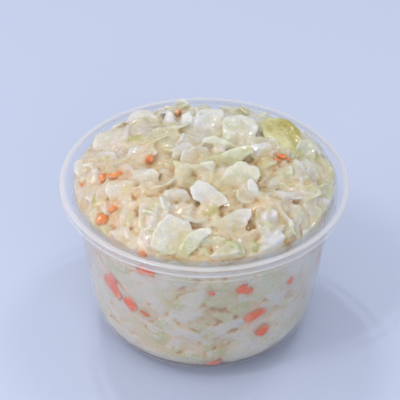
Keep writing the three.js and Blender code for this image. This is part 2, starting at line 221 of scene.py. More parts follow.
def vertex_value(tree, name):
    """A number kept for each vertex."""
    return add_node(tree, "ShaderNodeAttribute", {"attribute_name": name}).outputs["Fac"]


def noise(tree, place, scale, detail, distortion=0.0):
    """Smooth noise from 0 to 1, scale cells to the metre."""
    return add_node(tree, "ShaderNodeTexNoise", inputs={
        "Vector": place, "Scale": scale, "Detail": detail, "Distortion": distortion}).outputs["Fac"]


def mapped(tree, value, from_low, from_high, to_low, to_high):
    """A number taken from one range to another and held within it."""
    return add_node(tree, "ShaderNodeMapRange", inputs={
        "Value": value, 1: from_low, 2: from_high, 3: to_low, 4: to_high}).outputs[0]


def calculated(tree, operation, *numbers, clamp=False):
    """What a sum, a product or another operation on numbers gives."""
    settings = {"operation": operation, "use_clamp": clamp}
    return add_node(tree, "ShaderNodeMath", settings, dict(enumerate(numbers))).outputs[0]


def mixed(tree, share, under, over, blend="MIX"):
    """A colour over another, by its share."""
    settings = {"data_type": "RGBA", "blend_type": blend}
    return add_node(tree, "ShaderNodeMix", settings, {0: share, 6: under, 7: over}).outputs[2]


def bumped(tree, height, strength, distance):
    """The directions of a surface that a height makes uneven."""
    return add_node(tree, "ShaderNodeBump", inputs={
        "Height": height, "Strength": strength, "Distance": distance}).outputs[0]


def blended(tree, share, under, over):
    """A shader over another, by its share."""
    return add_node(tree, "ShaderNodeMixShader", inputs={
        "Fac": share, 1: under.outputs[0], 2: over.outputs[0]})


def clear_polypropylene():
    """Injection-moulded polypropylene: nearly clear with a milky veil, glossy, a little wavy. The
    wall is thin, so what is behind it shows unbent; the gloss grows towards grazing angles. One
    value kept for each vertex says how much it scatters, partly as painted highlight lines, and
    the value shade is painted shade that darkens what shows through it at the foot."""
    material, tree = new_material("clear_polypropylene_moulded")
    place = add_node(tree, "ShaderNodeTexCoord").outputs["Object"]
    ripple = bumped(tree, noise(tree, place, 90.0, 2.0), 0.12, 0.0004)
    facing = add_node(tree, "ShaderNodeLayerWeight", inputs={"Blend": 0.5, "Normal": ripple})
    grazing = calculated(tree, "POWER", facing.outputs["Facing"], 4.0)
    clear_with_painted_foot_shade = mixed(tree, vertex_value(tree, "shade"), srgb("#FCFCFD"), srgb("#BDA59D"))
    clear = add_node(tree, "ShaderNodeBsdfTransparent", inputs={"Color": clear_with_painted_foot_shade})
    veil_front = add_node(tree, "ShaderNodeBsdfDiffuse", inputs={"Color": srgb("#FAF8F6")})
    veil_back = add_node(tree, "ShaderNodeBsdfTranslucent", inputs={"Color": srgb("#FAF8F6")})
    veil = blended(tree, 0.5, veil_front, veil_back)
    milky = calculated(tree, "MULTIPLY_ADD", grazing, 0.25, vertex_value(tree, "milk_and_painted_lines"))
    gloss = add_node(tree, "ShaderNodeBsdfGlossy", inputs={
        "Color": srgb("#FFFFFF"), "Roughness": 0.1, "Normal": ripple})
    shine = mapped(tree, grazing, 0.0, 1.0, 0.035, 0.45)
    wall = blended(tree, shine, blended(tree, milky, clear, veil), gloss)
    add_node(tree, "ShaderNodeOutputMaterial", inputs={"Surface": wall.outputs[0]})
    return material


def haze_and_painted_lines(radius, height):
    """How much light the plastic scatters at a point of its section: a thin haze all over, and more
    at the bead of the lip, the skirt's edge, the ledge, the lower corner and the foot. These milky
    bands are partly the haze of thicker plastic and partly painted highlights, standing for the
    bright lines that these edges show."""

    def band(most, middle, spread, beyond):
        """A milky band round the cup at one height, on the faces outside a radius."""
        return most * np.exp(-((height - middle) / spread) ** 2) * (radius > beyond)

    thin_wall = 0.018
    lip = 0.62 * np.exp(-((radius - RIM_RADIUS + 0.8) / 1.2) ** 4) * (height > CUP_HEIGHT - 0.3)
    skirt_edge = band(0.6, CUP_HEIGHT - SKIRT_DROP, 0.3, 48)
    ledge = band(0.3, LEDGE + 0.3, 0.3, WALL_TOP_RADIUS)
    bead = band(0.5, BEAD, 0.3, WALL_TOP_RADIUS - 0.3)
    corner = band(0.35, 6.0, 0.6, 35)
    foot = 0.2 * np.exp(-(height / 4.6) ** 6)
    return thin_wall + np.maximum.reduce([lip, skirt_edge, ledge, bead, corner, foot])


cup = new_piece("cup_wall", *turned(cup_profile(), CUP_TURN_STEPS))
cup_x, cup_y, cup_z = coordinates(cup).T
# How much the plastic scatters: a thin haze, with milky bands that are partly painted highlight
# lines.
store(cup, "milk_and_painted_lines", haze_and_painted_lines(np.hypot(cup_x, cup_y), cup_z))
# Painted shade: the plastic darkens what shows through it at the foot.
store(cup, "shade", np.exp(-(cup_z / 5.0) ** 6))
cup.data.materials.append(clear_polypropylene())
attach(cup, "root")
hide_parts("cup")

# ---------------------------------------------------------------- the mound
# What the slaw fills: the cup up to its ledge and a flat-topped mound above the rim. It is never
# shown. Every piece of vegetable is laid on it, and the dressing is drawn over it.

FILL_LEVEL = 1.0
MOUND_HEIGHT = 12.0
MOUND_SPREAD = 46.0


def heap_height(x, y):
    """Height of the heap over a point of the rim's plane, in millimetres."""
    radius = np.hypot(x, y)
    mound = MOUND_HEIGHT * (1 - (radius / MOUND_SPREAD) ** 4)
    lumps = 1.1 * np.sin(x / 3.4 + 1) * np.cos(y / 4.1 + 0.4) + 0.9 * np.cos((x + y) / 5 + 2)
    dent = 5.5 * np.exp(-((x + 29) ** 2 + (y - 32) ** 2) / 100)
    back = 3.2 / (1 + np.exp((24 - y) / 4))
    return CUP_HEIGHT - FILL_LEVEL + mound + lumps - np.maximum(dent, back)


def inner_radius(z):
    """Radius of the cup's inner face at a height, in millimetres."""
    z = np.asarray(z, float)
    corner_top = FOOT_LIFT + CORNER_RADIUS
    below = np.clip(corner_top - z, 0, CORNER_RADIUS - WALL)
    corner = CORNER_OUT - CORNER_RADIUS + np.sqrt((CORNER_RADIUS - WALL) ** 2 - below ** 2)
    share = np.clip((z - corner_top) / (LEDGE - corner_top), 0, 1)
    straight = CORNER_OUT + (WALL_TOP_RADIUS - CORNER_OUT) * share - WALL
    neck = NECK_RADIUS - WALL
    return np.where(z < corner_top, corner, np.where(z < LEDGE + 0.6, straight, neck))


def ringed(rings, first, last):
    """Vertices and faces of a closed surface over equal rings, with a point at each end."""
    across = len(rings[0])
    vertices = [first, *[v for ring in rings for v in ring], last]
    faces = []
    for i in range(across):
        j = (i + 1) % across
        faces.append((0, 1 + j, 1 + i))
        for ring in range(len(rings) - 1):
            low, high = 1 + ring * across, 1 + (ring + 1) * across
            faces.append((low + i, low + j, high + j, high + i))
        top = 1 + (len(rings) - 1) * across
        faces.append((top + i, top + j, len(vertices) - 1))
    return vertices, faces


def mound_mesh(low, inset, sink, columns=120):
    """The slaw's plain body from a height up, set in from the plastic and sunk under the heap."""
    bearings = np.arange(columns) * 2 * math.pi / columns
    rings = []
    for z in np.linspace(low, CUP_HEIGHT - 3, 14):
        radius = float(inner_radius(z)) - inset
        rings.append([(radius * math.cos(b), radius * math.sin(b), z) for b in bearings])
    rimmost = NECK_RADIUS - WALL - inset
    for share in np.linspace(1, 0.03, 30):
        x, y = rimmost * share * np.cos(bearings), rimmost * share * np.sin(bearings)
        rings.append(list(zip(x, y, heap_height(x, y) - sink)))
    return ringed(rings, (0, 0, low), (0, 0, float(heap_height(0, 0)) - sink))


# ---------------------------------------------------------------- cabbage pieces
# White cabbage chopped into flakes 7 to 18 mm long: thin solids with a few cut sides, slightly
# cupped, thicker towards the rib. The largest lie where they were dropped.

OUTLINE_POINTS = 26
RING_SHARES = (0.34, 0.62, 0.82, 0.95, 1.0)
RING_THICKNESS = (1.0, 1.0, 0.97, 0.82, 0.55)


def blunted(corners, count, random, ragged):
    """A closed outline past a flake's corners, each blunted a little."""
    points = np.asarray(corners, float)
    for cut in (0.1, 0.2):
        after = np.roll(points, -1, 0)
        points = np.stack([(1 - cut) * points + cut * after, cut * points + (1 - cut) * after], 1)
        points = points.reshape(-1, 2)
    closed = np.vstack([points, points[:1]])
    along = np.concatenate([[0], np.cumsum(np.hypot(*np.diff(closed, axis=0).T))])
    steps = np.linspace(0, along[-1], count, endpoint=False)
    outline = np.stack([np.interp(steps, along, closed[:, k]) for k in (0, 1)], 1)
    return outline * (1 + random.uniform(-ragged, 0.6 * ragged, count))[:, None]


def cut_outline(corners, count, random, ragged):
    """An outline 2 across: a few cut sides, one torn inwards."""
    angles = (np.arange(corners) + random.uniform(-0.34, 0.34, corners)) * 2 * math.pi / corners
    reach = random.uniform(0.82, 1.22, corners)
    reach[random.integers(corners)] *= 0.72
    points = np.stack([np.cos(angles) * reach, np.sin(angles) * reach], 1)
    outline = blunted(points, count, random, ragged)
    low, high = outline.min(0), outline.max(0)
    return 2 * (outline - low) / (high - low) - 1


def thin_solid(placed, shares, thicknesses, rim=()):
    """A closed thin piece out of rings, each placed by its share of the outline, its side and its
    share of the thickness: the underside from the middle out, the rim, and the upper face back."""
    rings = [placed(share, -1, thick) for share, thick in zip(shares, thicknesses)]
    rings += rim
    rings += [placed(share, 1, thick) for share, thick in zip(shares[::-1], thicknesses[::-1])]
    return ringed(rings, placed(0.0, -1, 1.0)[0], placed(0.0, 1, 1.0)[0])


def flake(corners, thickness, curl, ripple, fold, seed):
    """Vertices and faces of one cabbage flake lying in the XY plane, in millimetres. Curl is how far
    its long sides hang below its middle, and fold how far its sides drop from a crease along it."""
    random = np.random.default_rng(seed)
    outline = blunted(corners, OUTLINE_POINTS, random, 0.1)
    half_length, half_width = np.abs(outline).max(0)
    phase = random.uniform(0, 6.3, 3)
    bend = random.uniform(-0.5, 0.5)
    crease = random.uniform(-0.35, 0.35)

    def placed(share, side, thick):
        x, y = (outline * share).T
        along, across = x / half_length, y / half_width
        half = 0.5 * thickness * thick * (1 + 0.35 * across)
        bumps = np.sin(1.1 * x + phase[0]) * np.cos(0.9 * y + phase[1])
        edge_wave = np.sin(3 * np.arctan2(across, along) + phase[2]) * share ** 3
        z = -curl * across ** 2 + bend * along ** 2 + ripple * (bumps + 1.4 * edge_wave) + side * half
        z = z - fold * (np.sqrt((across - crease - 0.25 * along) ** 2 + 0.01) - 0.3)
        return np.stack([x, y, z], 1)

    return thin_solid(placed, RING_SHARES, RING_THICKNESS, [placed(1.02, 0, 0)])


def on_heap(vertices, x, y, turn, towards_x, towards_front, lift):
    """Moves a piece onto the heap at x, y: turned about its own normal by turn degrees, and leaned
    so that its upper face looks towards +X and towards the front by so many degrees."""
    lean = Euler((math.radians(towards_front), math.radians(towards_x), 0)).to_matrix()
    turned_piece = np.array(lean @ Matrix.Rotation(math.radians(turn), 3, "Z"))
    return np.asarray(vertices) @ turned_piece.T + (x, y, float(heap_height(x, y)) + lift)


def joined(parts):
    """One set of vertices and faces out of several, and which part each vertex comes from."""
    vertices, faces, source, offset = [], [], [], 0
    for index, (part_vertices, part_faces) in enumerate(parts):
        vertices.append(np.asarray(part_vertices, float))
        faces += [tuple(offset + i for i in face) for face in part_faces]
        source.append(np.full(len(part_vertices), index))
        offset += len(part_vertices)
    return np.vstack(vertices), faces, np.concatenate(source)


# x, y, degrees towards +X, degrees towards the front, lift, thickness, curl, tint, then the corners
# in the flake's own plane. The tint runs from 0, white heart, over 0.5, ivory, to 1, pale green.
MAIN_FLAKES = [
    # firm lump at the back left
    (-22, 20.5, -8, 22, 1, 2.6, 1.5, 0.2,
     ((-1.5, -6), (3.5, -5.5), (6, -2.5), (5, 1.5), (2, 4.5), (-2.5, 5), (-5.5, 3.5), (-6, -1))),
    # smooth slab left of it
    (-33, 9, -15, 12, 0.8, 4.6, 3.8, 0.2,
     ((-2.5, -6.5), (3.5, -6), (7, -1), (4.5, 5.5), (-0.5, 7), (-5.5, 4), (-7, -2))),
    (-12.5, 20, 0, 30, 1.2, 1.4, 0.8, 0.1,
     ((-2, -4), (1.5, -5), (2.5, -1), (1, 4), (-1.5, 5), (-2.5, 1.5))),
    (-6.5, 14.5, 0, 36, 1, 1.3, 0.8, 0.05,
     ((-2.5, -3.5), (0, -6.5), (2, -3.5), (2, 2.5), (1, 7), (-2, 4.5))),
    # slabs across the back
    (1.5, 17, 0, 14, 1.2, 1.3, 0.6, 0.1,
     ((-5, -4.5), (-0.5, -6.5), (4, -6), (6, -0.5), (4.5, 5.5), (-1.5, 6.5), (-5.5, 4))),
    (12.5, 9.5, 0, 16, 0.7, 1.3, 0.6, 0.3,
     ((-7, -2), (-4, -7), (0.5, -7.5), (4.5, -4.5), (6, 0), (5.5, 6.5), (-0.5, 8), (-6.5, 6.5))),
    (19, -2, 6, 30, 2, 1.1, 0.8, 0.1,
     ((-2.5, -4), (2.5, -4.5), (4.5, -0.5), (4, 2.5), (1, 3.5), (-3, 2), (-7, -0.5))),
    # the leaf curled round a hollow: far rim, near rim and left side
    (4.5, 2, 0, 50, 2.6, 1.1, 0.3, 0.35,
     ((0, -1), (4.5, -3), (7.5, -2), (2, 2), (-1.5, 2.5), (-5, 2), (-6, 0))),
    (-3.5, -12, -4, 40, 2.2, 1.5, 0.9, 0.45,
     ((-6, -1.5), (-1.5, -3.5), (4, -3.5), (7.5, -1), (6.5, 2), (4, 1), (-0.5, 0.5), (-5, 1.5),
      (-8, 3.5))),
    (-7, -2.5, 12, 25, 1.3, 1.1, -0.8, 0.15,
     ((1, -4), (5, -0.5), (3, 3), (-0.5, 4.5), (-4, 1), (-4.5, -3.5))),
    (9, -6.5, -8, 44, 2.9, 1.4, 0.9, 0.72,
     ((-8.5, -4.5), (-3.5, -4.5), (1.5, -2.5), (5.5, 0), (8.5, 1.5), (8, 4), (3.5, 4), (-1, 3),
      (-6, 1), (-10, -1.5))),
    # across the middle
    (12, -18.5, 0, 38, 2.4, 1.2, 1.3, 0.5,
     ((-5, 2), (-8, -2), (-1.5, -6.5), (3.5, -6), (6, -1.5), (7, 3), (0, 6), (-3, 4))),
    (16, -23, 18, 40, 3, 1.2, 0.6, 0,
     ((-1.5, -1), (1, -3.5), (3, -2.5), (1.5, 1.5), (-1, 3.5), (-2.5, 2))),
    (1.5, -26.5, 0, 36, 2.6, 1.3, 0.9, 0.08,
     ((-6, -2), (-1, -3.5), (3.5, -4), (7.5, -3.5), (4.5, 1), (1, 3), (-2.5, 5.5), (-6, 3.5))),
    (-9.5, -25.5, 0, 36, 1.8, 1.3, 0.9, 0.05,
     ((-3, -3), (4, -3.5), (5.5, -0.5), (4, 2.5), (0, 3.5), (-3, 2.5), (-5.5, -1))),
    (10, -34, 0, 38, 2.3, 1.2, 0.8, 0.3,
     ((-6, -5.5), (2, -4.5), (4.5, -2), (6.5, 3.5), (4, 4.5), (0.5, 3.5), (-4, 0.5), (-7.5, -1.5))),
    (2.5, -31.5, 0, 30, 0.9, 1.2, 0.4, 0.98,
     ((-2, -2), (0, -2.5), (3, -0.5), (2.5, 2), (-0.5, 2.5), (-3, 0.5))),
    (22, -31.5, 0, 35, 1.6, 2.8, 1.2, 0.02,
     ((-2.5, -3), (1, -3), (2.5, -0.5), (1.5, 2.5), (-1, 3), (-3.5, 0.5))),
    # the front
    (23, -37, 8, 40, 2.3, 1.6, 1.6, 0,
     ((-0.5, -4), (3.5, -2.5), (4.5, 0), (2, 2.5), (-1.5, 3), (-3.5, 1), (-4.5, -2))),
    (-11, -39.5, -6, 44, 2.3, 1.2, 1.4, 0.35,
     ((-6, -1.5), (-6.5, -5), (-2.5, -8), (3.5, -6.5), (7.5, -0.5), (7, 3.5), (1.5, 6.5),
      (-1.5, 6), (-4, 3.5))),
    (-16.5, -33, -22, 40, 1.8, 1.1, 0.5, 0.05,
     ((-3, -2), (-2, -6), (0.5, -2.5), (2, 1), (2, 4.5), (-0.5, 4.5))),
    (-18.5, -38, -18, 46, 1.1, 1.2, 0.5, 0,
     ((-2, 0), (-1.5, -4), (0.5, -5.5), (1.5, 0), (1.5, 5), (-0.5, 4.5))),
    (-2.5, -42, 0, 52, 2.8, 1.1, 0.9, 0.6,
     ((-3.5, -6), (0, -3.5), (2.5, 0.5), (6, 3), (4, 4.5), (0, 3.5), (-3.5, 1.5), (-5, -2.5))),
    (3, -41.5, 0, 48, 1.9, 1.2, 0.6, 0.5,
     ((-2, -3), (3.5, -1.5), (4.5, 1), (1.5, 2.5), (-2, 2), (-4.5, -0.5))),
    (7.5, -44, 0, 48, 1.4, 1.5, 1.2, 0.3,
     ((-1.5, -4), (4, -3), (4.5, 0.5), (2.5, 3.5), (-1, 2.5), (-4.5, 0.5), (-5.5, -2))),
    (10.5, -42.5, 6, 48, 2.3, 1, 0.3, 0.98,
     ((-1, -0.5), (1, -2.5), (2.5, -2.5), (1.5, 0), (-1.5, 2), (-3.5, 1))),
    (15.5, -41, 6, 46, 1, 1.3, 0.5, 0.8,
     ((-1.5, -3), (2, -2), (2.5, 1), (0, 3), (-2.5, 1))),
    # the right
    (24.5, -15, 6, 28, 1.2, 1.9, 0.8, 0.3,
     ((-2.5, -3), (1, -3.5), (3.5, -1), (2, 2.5), (-1, 3.5), (-3.5, 1))),
    (31, -7.5, 14, 22, 1, 1.5, 0.8, 0.2,
     ((-2.5, -3), (0.5, -3.5), (3.5, -0.5), (2.5, 3), (-0.5, 4), (-3, 0))),
    (25, -21, 8, 32, 1.8, 1.1, 0.5, 0.05,
     ((-2.5, -2.5), (3.5, -1), (7, 2), (-1.5, 1.5), (-6, -1))),
    (30, -26.5, 18, 32, 1.3, 1.3, 0.8, 0.1,
     ((-3, -2), (0, -5), (3, -2.5), (3.5, 2.5), (0, 5), (-3.5, 2))),
    (35.5, -20.5, 26, 28, 1, 1.2, 0.8, 0.12,
     ((-1, -4.5), (2, -3), (2, 2.5), (-1, 4.5), (-3, 1.5))),
    # pale lobes on the left slope
    (-28, -19.5, -12, 24, 1.2, 2.2, 1.3, 0.15,
     ((-5.5, -1.5), (-3, -4), (1.5, -4.5), (5, -3), (5.5, 1), (2.5, 3.5), (-3, 4), (-5, 2.5))),
    (-20.5, -17, -8, 26, 1.3, 1.5, 0.9, 0.1,
     ((-4, 0), (-3, -4.5), (-1, -5.5), (1, -1), (5, -0.5), (6, 2.5), (2, 5), (-3, 4.5))),
    (-25.5, -29, -14, 30, 1.2, 1.5, 0.8, 0.3,
     ((-2.5, 1.5), (-2.5, -3.5), (0.5, -4.5), (3.5, -1), (2.5, 3), (0, 5))),
    (-34.5, -1, -18, 18, 1, 2.4, 1.5, 0.15,
     ((-2.5, -2.5), (1, -3.5), (4.5, -2), (4, 1.5), (0.5, 3.5), (-2.5, 3.5), (-4, 0.5))),
    (-26, -12.5, -8, 26, 1.3, 1.3, 0.7, 0.05,
     ((-2, -0.5), (0.5, -3), (3, -2.5), (2, 1), (-1, 3.5), (-3, 2))),
    (-31, -13, -12, 26, 1.1, 1.3, 0.5, 0,
     ((-0.5, -1.5), (3, 0), (2, 1.5), (-1, 1.5), (-2.5, -0.5))),
    # more on the left
    (-22.5, 6.5, -6, 30, 1.1, 1.2, 0.4, 0.85,
     ((-2.5, -2), (2.5, -2), (4, 0.5), (0, 2), (-4.5, 1.5))),
    (-23, -1.5, -6, 24, 0.9, 1.4, 0.9, 0.12,
     ((-0.5, -4), (3, -3.5), (4, 1), (1, 3.5), (-3, 3), (-4, -1))),
    (-36.5, -20, -24, 20, 0.8, 1.1, 0.3, 0.95,
     ((-0.5, -5), (2, -1.5), (1.5, 4), (-0.5, 4), (-1.5, -0.5))),
    (-37, -15, -18, 20, 0.6, 1.5, 0.8, 0.2,
     ((-3.5, -2), (0, -4), (4, -2.5), (3.5, 1.5), (-0.5, 4), (-4, 2))),
    (-27.5, -34.5, -14, 32, 0.9, 1.6, 1, 0.15,
     ((-3, -1), (1, -3), (4.5, -1.5), (3, 1.5), (-1, 3), (-4, 2))),
    (-31, -24, -16, 26, 0.7, 1.4, 0.8, 0.2,
     ((-2.5, -2), (2, -3), (4, 0.5), (0, 3.5), (-4, 2))),
]


def main_flake_parts():
    """The large flakes in place, and the tint of their vertices, which drifts across each flake."""
    parts, tints = [], []
    for index, (x, y, to_x, to_front, lift, thickness, curl, tint, corners) in enumerate(MAIN_FLAKES):
        fold = (0.9, 0.3, 1.3)[index % 3]
        vertices, faces = flake(corners, 0.7 * thickness, 0.5 * curl, 0.25, fold, 100 + index)
        parts.append((on_heap(vertices, x, y, 0, to_x, to_front, lift), faces))
        flat = np.asarray(vertices)[:, :2]
        drift = flat @ (math.cos(1.9 * index), math.sin(1.9 * index)) / np.abs(flat).max()
        tints.append(tint + 0.25 * drift)
    return parts, np.concatenate(tints)


def scatter_tree(name):
    """Geometry Nodes that lay pieces from a collection over a surface. Each piece takes a random
    turn, lean, size and depth, and keeps a random tint."""
    tree = bpy.data.node_groups.new(name, "GeometryNodeTree")
    face = tree.interface
    face.new_socket("Geometry", in_out="INPUT", socket_type="NodeSocketGeometry")
    face.new_socket("Pieces", in_out="INPUT", socket_type="NodeSocketCollection")
    for label in (
            "Spacing", "Density", "Lean", "Smallest", "Largest", "Deepest", "Highest", "Whitest",
            "Greenest"):
        face.new_socket(label, in_out="INPUT", socket_type="NodeSocketFloat")
    face.new_socket("Seed", in_out="INPUT", socket_type="NodeSocketInt")
    face.new_socket("Finish", in_out="INPUT", socket_type="NodeSocketMaterial")
    face.new_socket("Geometry", in_out="OUTPUT", socket_type="NodeSocketGeometry")
    given = add_node(tree, "NodeGroupInput").outputs

    def random_value(low, high, salt):
        """A random number for each piece. Each call takes its own salt, so that none repeats."""
        node = add_node(tree, "FunctionNodeRandomValue", {"data_type": "FLOAT"}, {
            2: low, 3: high, "Seed": calculated(tree, "ADD", given["Seed"], float(salt))})
        return node.outputs[1]

    room = add_node(tree, "GeometryNodeInputNamedAttribute", {"data_type": "FLOAT"}, {"Name": "room"})
    points = add_node(tree, "GeometryNodeDistributePointsOnFaces", {"distribute_method": "POISSON"}, {
        "Mesh": given["Geometry"], "Distance Min": given["Spacing"], "Density Max": given["Density"],
        "Density Factor": room.outputs["Attribute"], "Seed": given["Seed"]})
    back = calculated(tree, "MULTIPLY", given["Lean"], -1.0)
    tilt = add_node(tree, "ShaderNodeCombineXYZ", inputs={
        "X": random_value(back, given["Lean"], 1),
        "Y": random_value(back, given["Lean"], 2),
        "Z": random_value(0.0, 2 * math.pi, 3)})
    turn = add_node(tree, "FunctionNodeRotateRotation", {"rotation_space": "LOCAL"}, {
        "Rotation": points.outputs["Rotation"], "Rotate By": tilt.outputs[0]})
    pieces = add_node(tree, "GeometryNodeCollectionInfo", inputs={
        "Collection": given["Pieces"], "Separate Children": True, "Reset Children": True})
    which = add_node(tree, "FunctionNodeRandomValue", {"data_type": "INT"}, {
        4: 0, 5: 99, "Seed": given["Seed"]})
    laid = add_node(tree, "GeometryNodeInstanceOnPoints", inputs={
        "Points": points.outputs["Points"], "Instance": pieces.outputs[0], "Pick Instance": True,
        "Instance Index": which.outputs[2], "Rotation": turn.outputs[0],
        "Scale": random_value(given["Smallest"], given["Largest"], 4)})
    depth = add_node(tree, "ShaderNodeCombineXYZ", inputs={
        "Z": random_value(given["Deepest"], given["Highest"], 5)})
    settled = add_node(tree, "GeometryNodeTranslateInstances", inputs={
        "Instances": laid.outputs[0], "Translation": depth.outputs[0], "Local Space": True})
    per_piece = {"data_type": "FLOAT", "domain": "INSTANCE"}
    tinted = add_node(tree, "GeometryNodeStoreNamedAttribute", per_piece, {
        "Geometry": settled.outputs[0], "Name": "tint",
        "Value": random_value(given["Whitest"], given["Greenest"], 6)})
    real = add_node(tree, "GeometryNodeRealizeInstances", inputs={"Geometry": tinted.outputs[0]})
    finished = add_node(tree, "GeometryNodeSetMaterial", inputs={
        "Geometry": real.outputs[0], "Material": given["Finish"]})
    add_node(tree, "NodeGroupOutput", inputs={"Geometry": finished.outputs[0]})
    return tree


def remove(piece):
    """Deletes an object and its mesh."""
    mesh = piece.data
    bpy.data.objects.remove(piece)
    bpy.data.meshes.remove(mesh)


def as_mesh(block, name):
    """What the modifiers of a block make of it, as a new object. The block is removed."""
    bpy.context.view_layer.update()
    evaluated = block.evaluated_get(bpy.context.evaluated_depsgraph_get())
    mesh = bpy.data.meshes.new_from_object(evaluated)
    remove(block)
    mesh.name = name
    return placed_in_scene(name, mesh)


def grown(name, base, tree, settings):
    """What a tree of nodes makes of a surface, as a plain mesh object. The surface is removed."""
    modifier = base.modifiers.new("nodes", "NODES")
    modifier.node_group = tree
    for item in tree.interface.items_tree:
        if item.in_out == "INPUT" and item.name in settings:
            modifier[item.identifier] = settings[item.name]
    base.update_tag()
    return as_mesh(base, name)


def collection_of(name, shapes):
    """A collection, not in the scene, of the shapes that a scatter picks from."""
    collection = bpy.data.collections.new(name)
    for index, (vertices, faces) in enumerate(shapes):
        shape = new_piece(f"{name}_{index}", vertices, faces)
        bpy.context.scene.collection.objects.unlink(shape)
        collection.objects.link(shape)
    return collection


def empty_collection(collection):
    """Deletes a collection and all in it."""
    for shape in list(collection.objects):
        remove(shape)
    bpy.data.collections.remove(collection)


def top_ground(name, room, reach=45.6):
    """The heap's surface as a grid of 1.5 mm, with room(x, y) saying how thickly pieces may lie."""
    steps = np.arange(-reach, reach + 1.4, 1.5)
    x, y = [a.ravel() for a in np.meshgrid(steps, steps)]
    count = len(steps)
    vertices = np.stack([x, y, heap_height(x, y)], 1)
    faces = []
    for row in range(count - 1):
        for column in range(count - 1):
            a = row * count + column
            corners = (a, a + 1, a + 1 + count, a + count)
            if all(math.hypot(x[c], y[c]) < reach for c in corners):
                faces.append(corners)
    ground = new_piece(name, vertices, faces)
    store(ground, "room", room(x, y))
    return ground


def wall_ground(name, inset, low=2.2, high=58.0, columns=120):
    """The inner face of the cup set in by a little, facing outwards, with room everywhere."""
    bearings = np.arange(columns) * 2 * math.pi / columns
    heights = np.linspace(low, high, 30)
    vertices = []
    for z, radius in zip(heights, inner_radius(heights) - inset):
        vertices += [(radius * math.cos(b), radius * math.sin(b), z) for b in bearings]
    faces = []
    for start in range(0, (len(heights) - 1) * columns, columns):
        above = start + columns
        for i in range(columns):
            j = (i + 1) % columns
            faces.append((start + i, start + j, above + j, above + i))
    ground = new_piece(name, vertices, faces)
    store(ground, "room", np.ones(len(vertices)))
    return ground


def set_coordinates(piece, points):
    """Moves the piece's vertices to points in millimetres."""
    piece.data.vertices.foreach_set("co", (points * MM).astype(np.float32).ravel())
    piece.data.update()


FLOOR_CONTACT = 0.05


def pressed(points, reach):
    """Presses what would stick through the plastic flat against it, reach into its wall."""
    points = points.copy()
    points[:, 2] = np.maximum(points[:, 2], FOOT_LIFT + WALL - FLOOR_CONTACT)
    radius = np.hypot(points[:, 0], points[:, 1]) + 1e-9
    limit = inner_radius(points[:, 2]) + reach
    band = 0.5
    squeezed = limit - band + band * np.tanh((radius - limit + band) / 1.1)
    radius_now = np.where(radius > limit - band, squeezed, radius)
    points[:, :2] *= (radius_now / radius)[:, None]
    return points


def press(piece, reach):
    """Presses a whole piece against the plastic."""
    set_coordinates(piece, pressed(coordinates(piece), reach))


SMALL_POINTS = 16
SMALL_SHARES = (0.62, 0.95, 1.0)
SMALL_THICKNESS = (1.0, 0.85, 0.5)


def small_flake(length, width, thickness, curl, seed, corners=5):
    """A flake of a few dozen faces, for the pieces that are laid by the hundred."""
    random = np.random.default_rng(seed)
    outline = cut_outline(corners, SMALL_POINTS, random, 0.07) * (length / 2, width / 2)
    phase = random.uniform(0, 6.3, 2)
    bend, warp = random.uniform(-0.9, 0.5), random.uniform(-0.7, 0.7)

    def placed(share, side, thick):
        x, y = (outline * share).T
        along, across = 2 * x / length, 2 * y / width
        z = -curl * across ** 2 + bend * along ** 2 + warp * along * across
        z = z + 0.3 * np.sin(1.3 * x + phase[0]) * np.cos(1.1 * y + phase[1])
        half = 0.5 * thickness * thick * (1 + 0.3 * across)
        return np.stack([x, y, z + side * half], 1)

    return thin_solid(placed, SMALL_SHARES, SMALL_THICKNESS)


def colour_ramp(tree, value, *stops):
    """A colour read off a number, through stops of a position and a hex colour, lowest first."""
    node = add_node(tree, "ShaderNodeValToRGB", inputs={"Fac": value})
    elements = node.color_ramp.elements
    elements[0].position = stops[0][0]
    elements[1].position = stops[-1][0]
    for position, _ in stops[1:-1]:
        elements.new(position)
    for element, (_, shade) in zip(elements, stops):
        element.color = srgb(shade)
    return node.outputs["Color"]


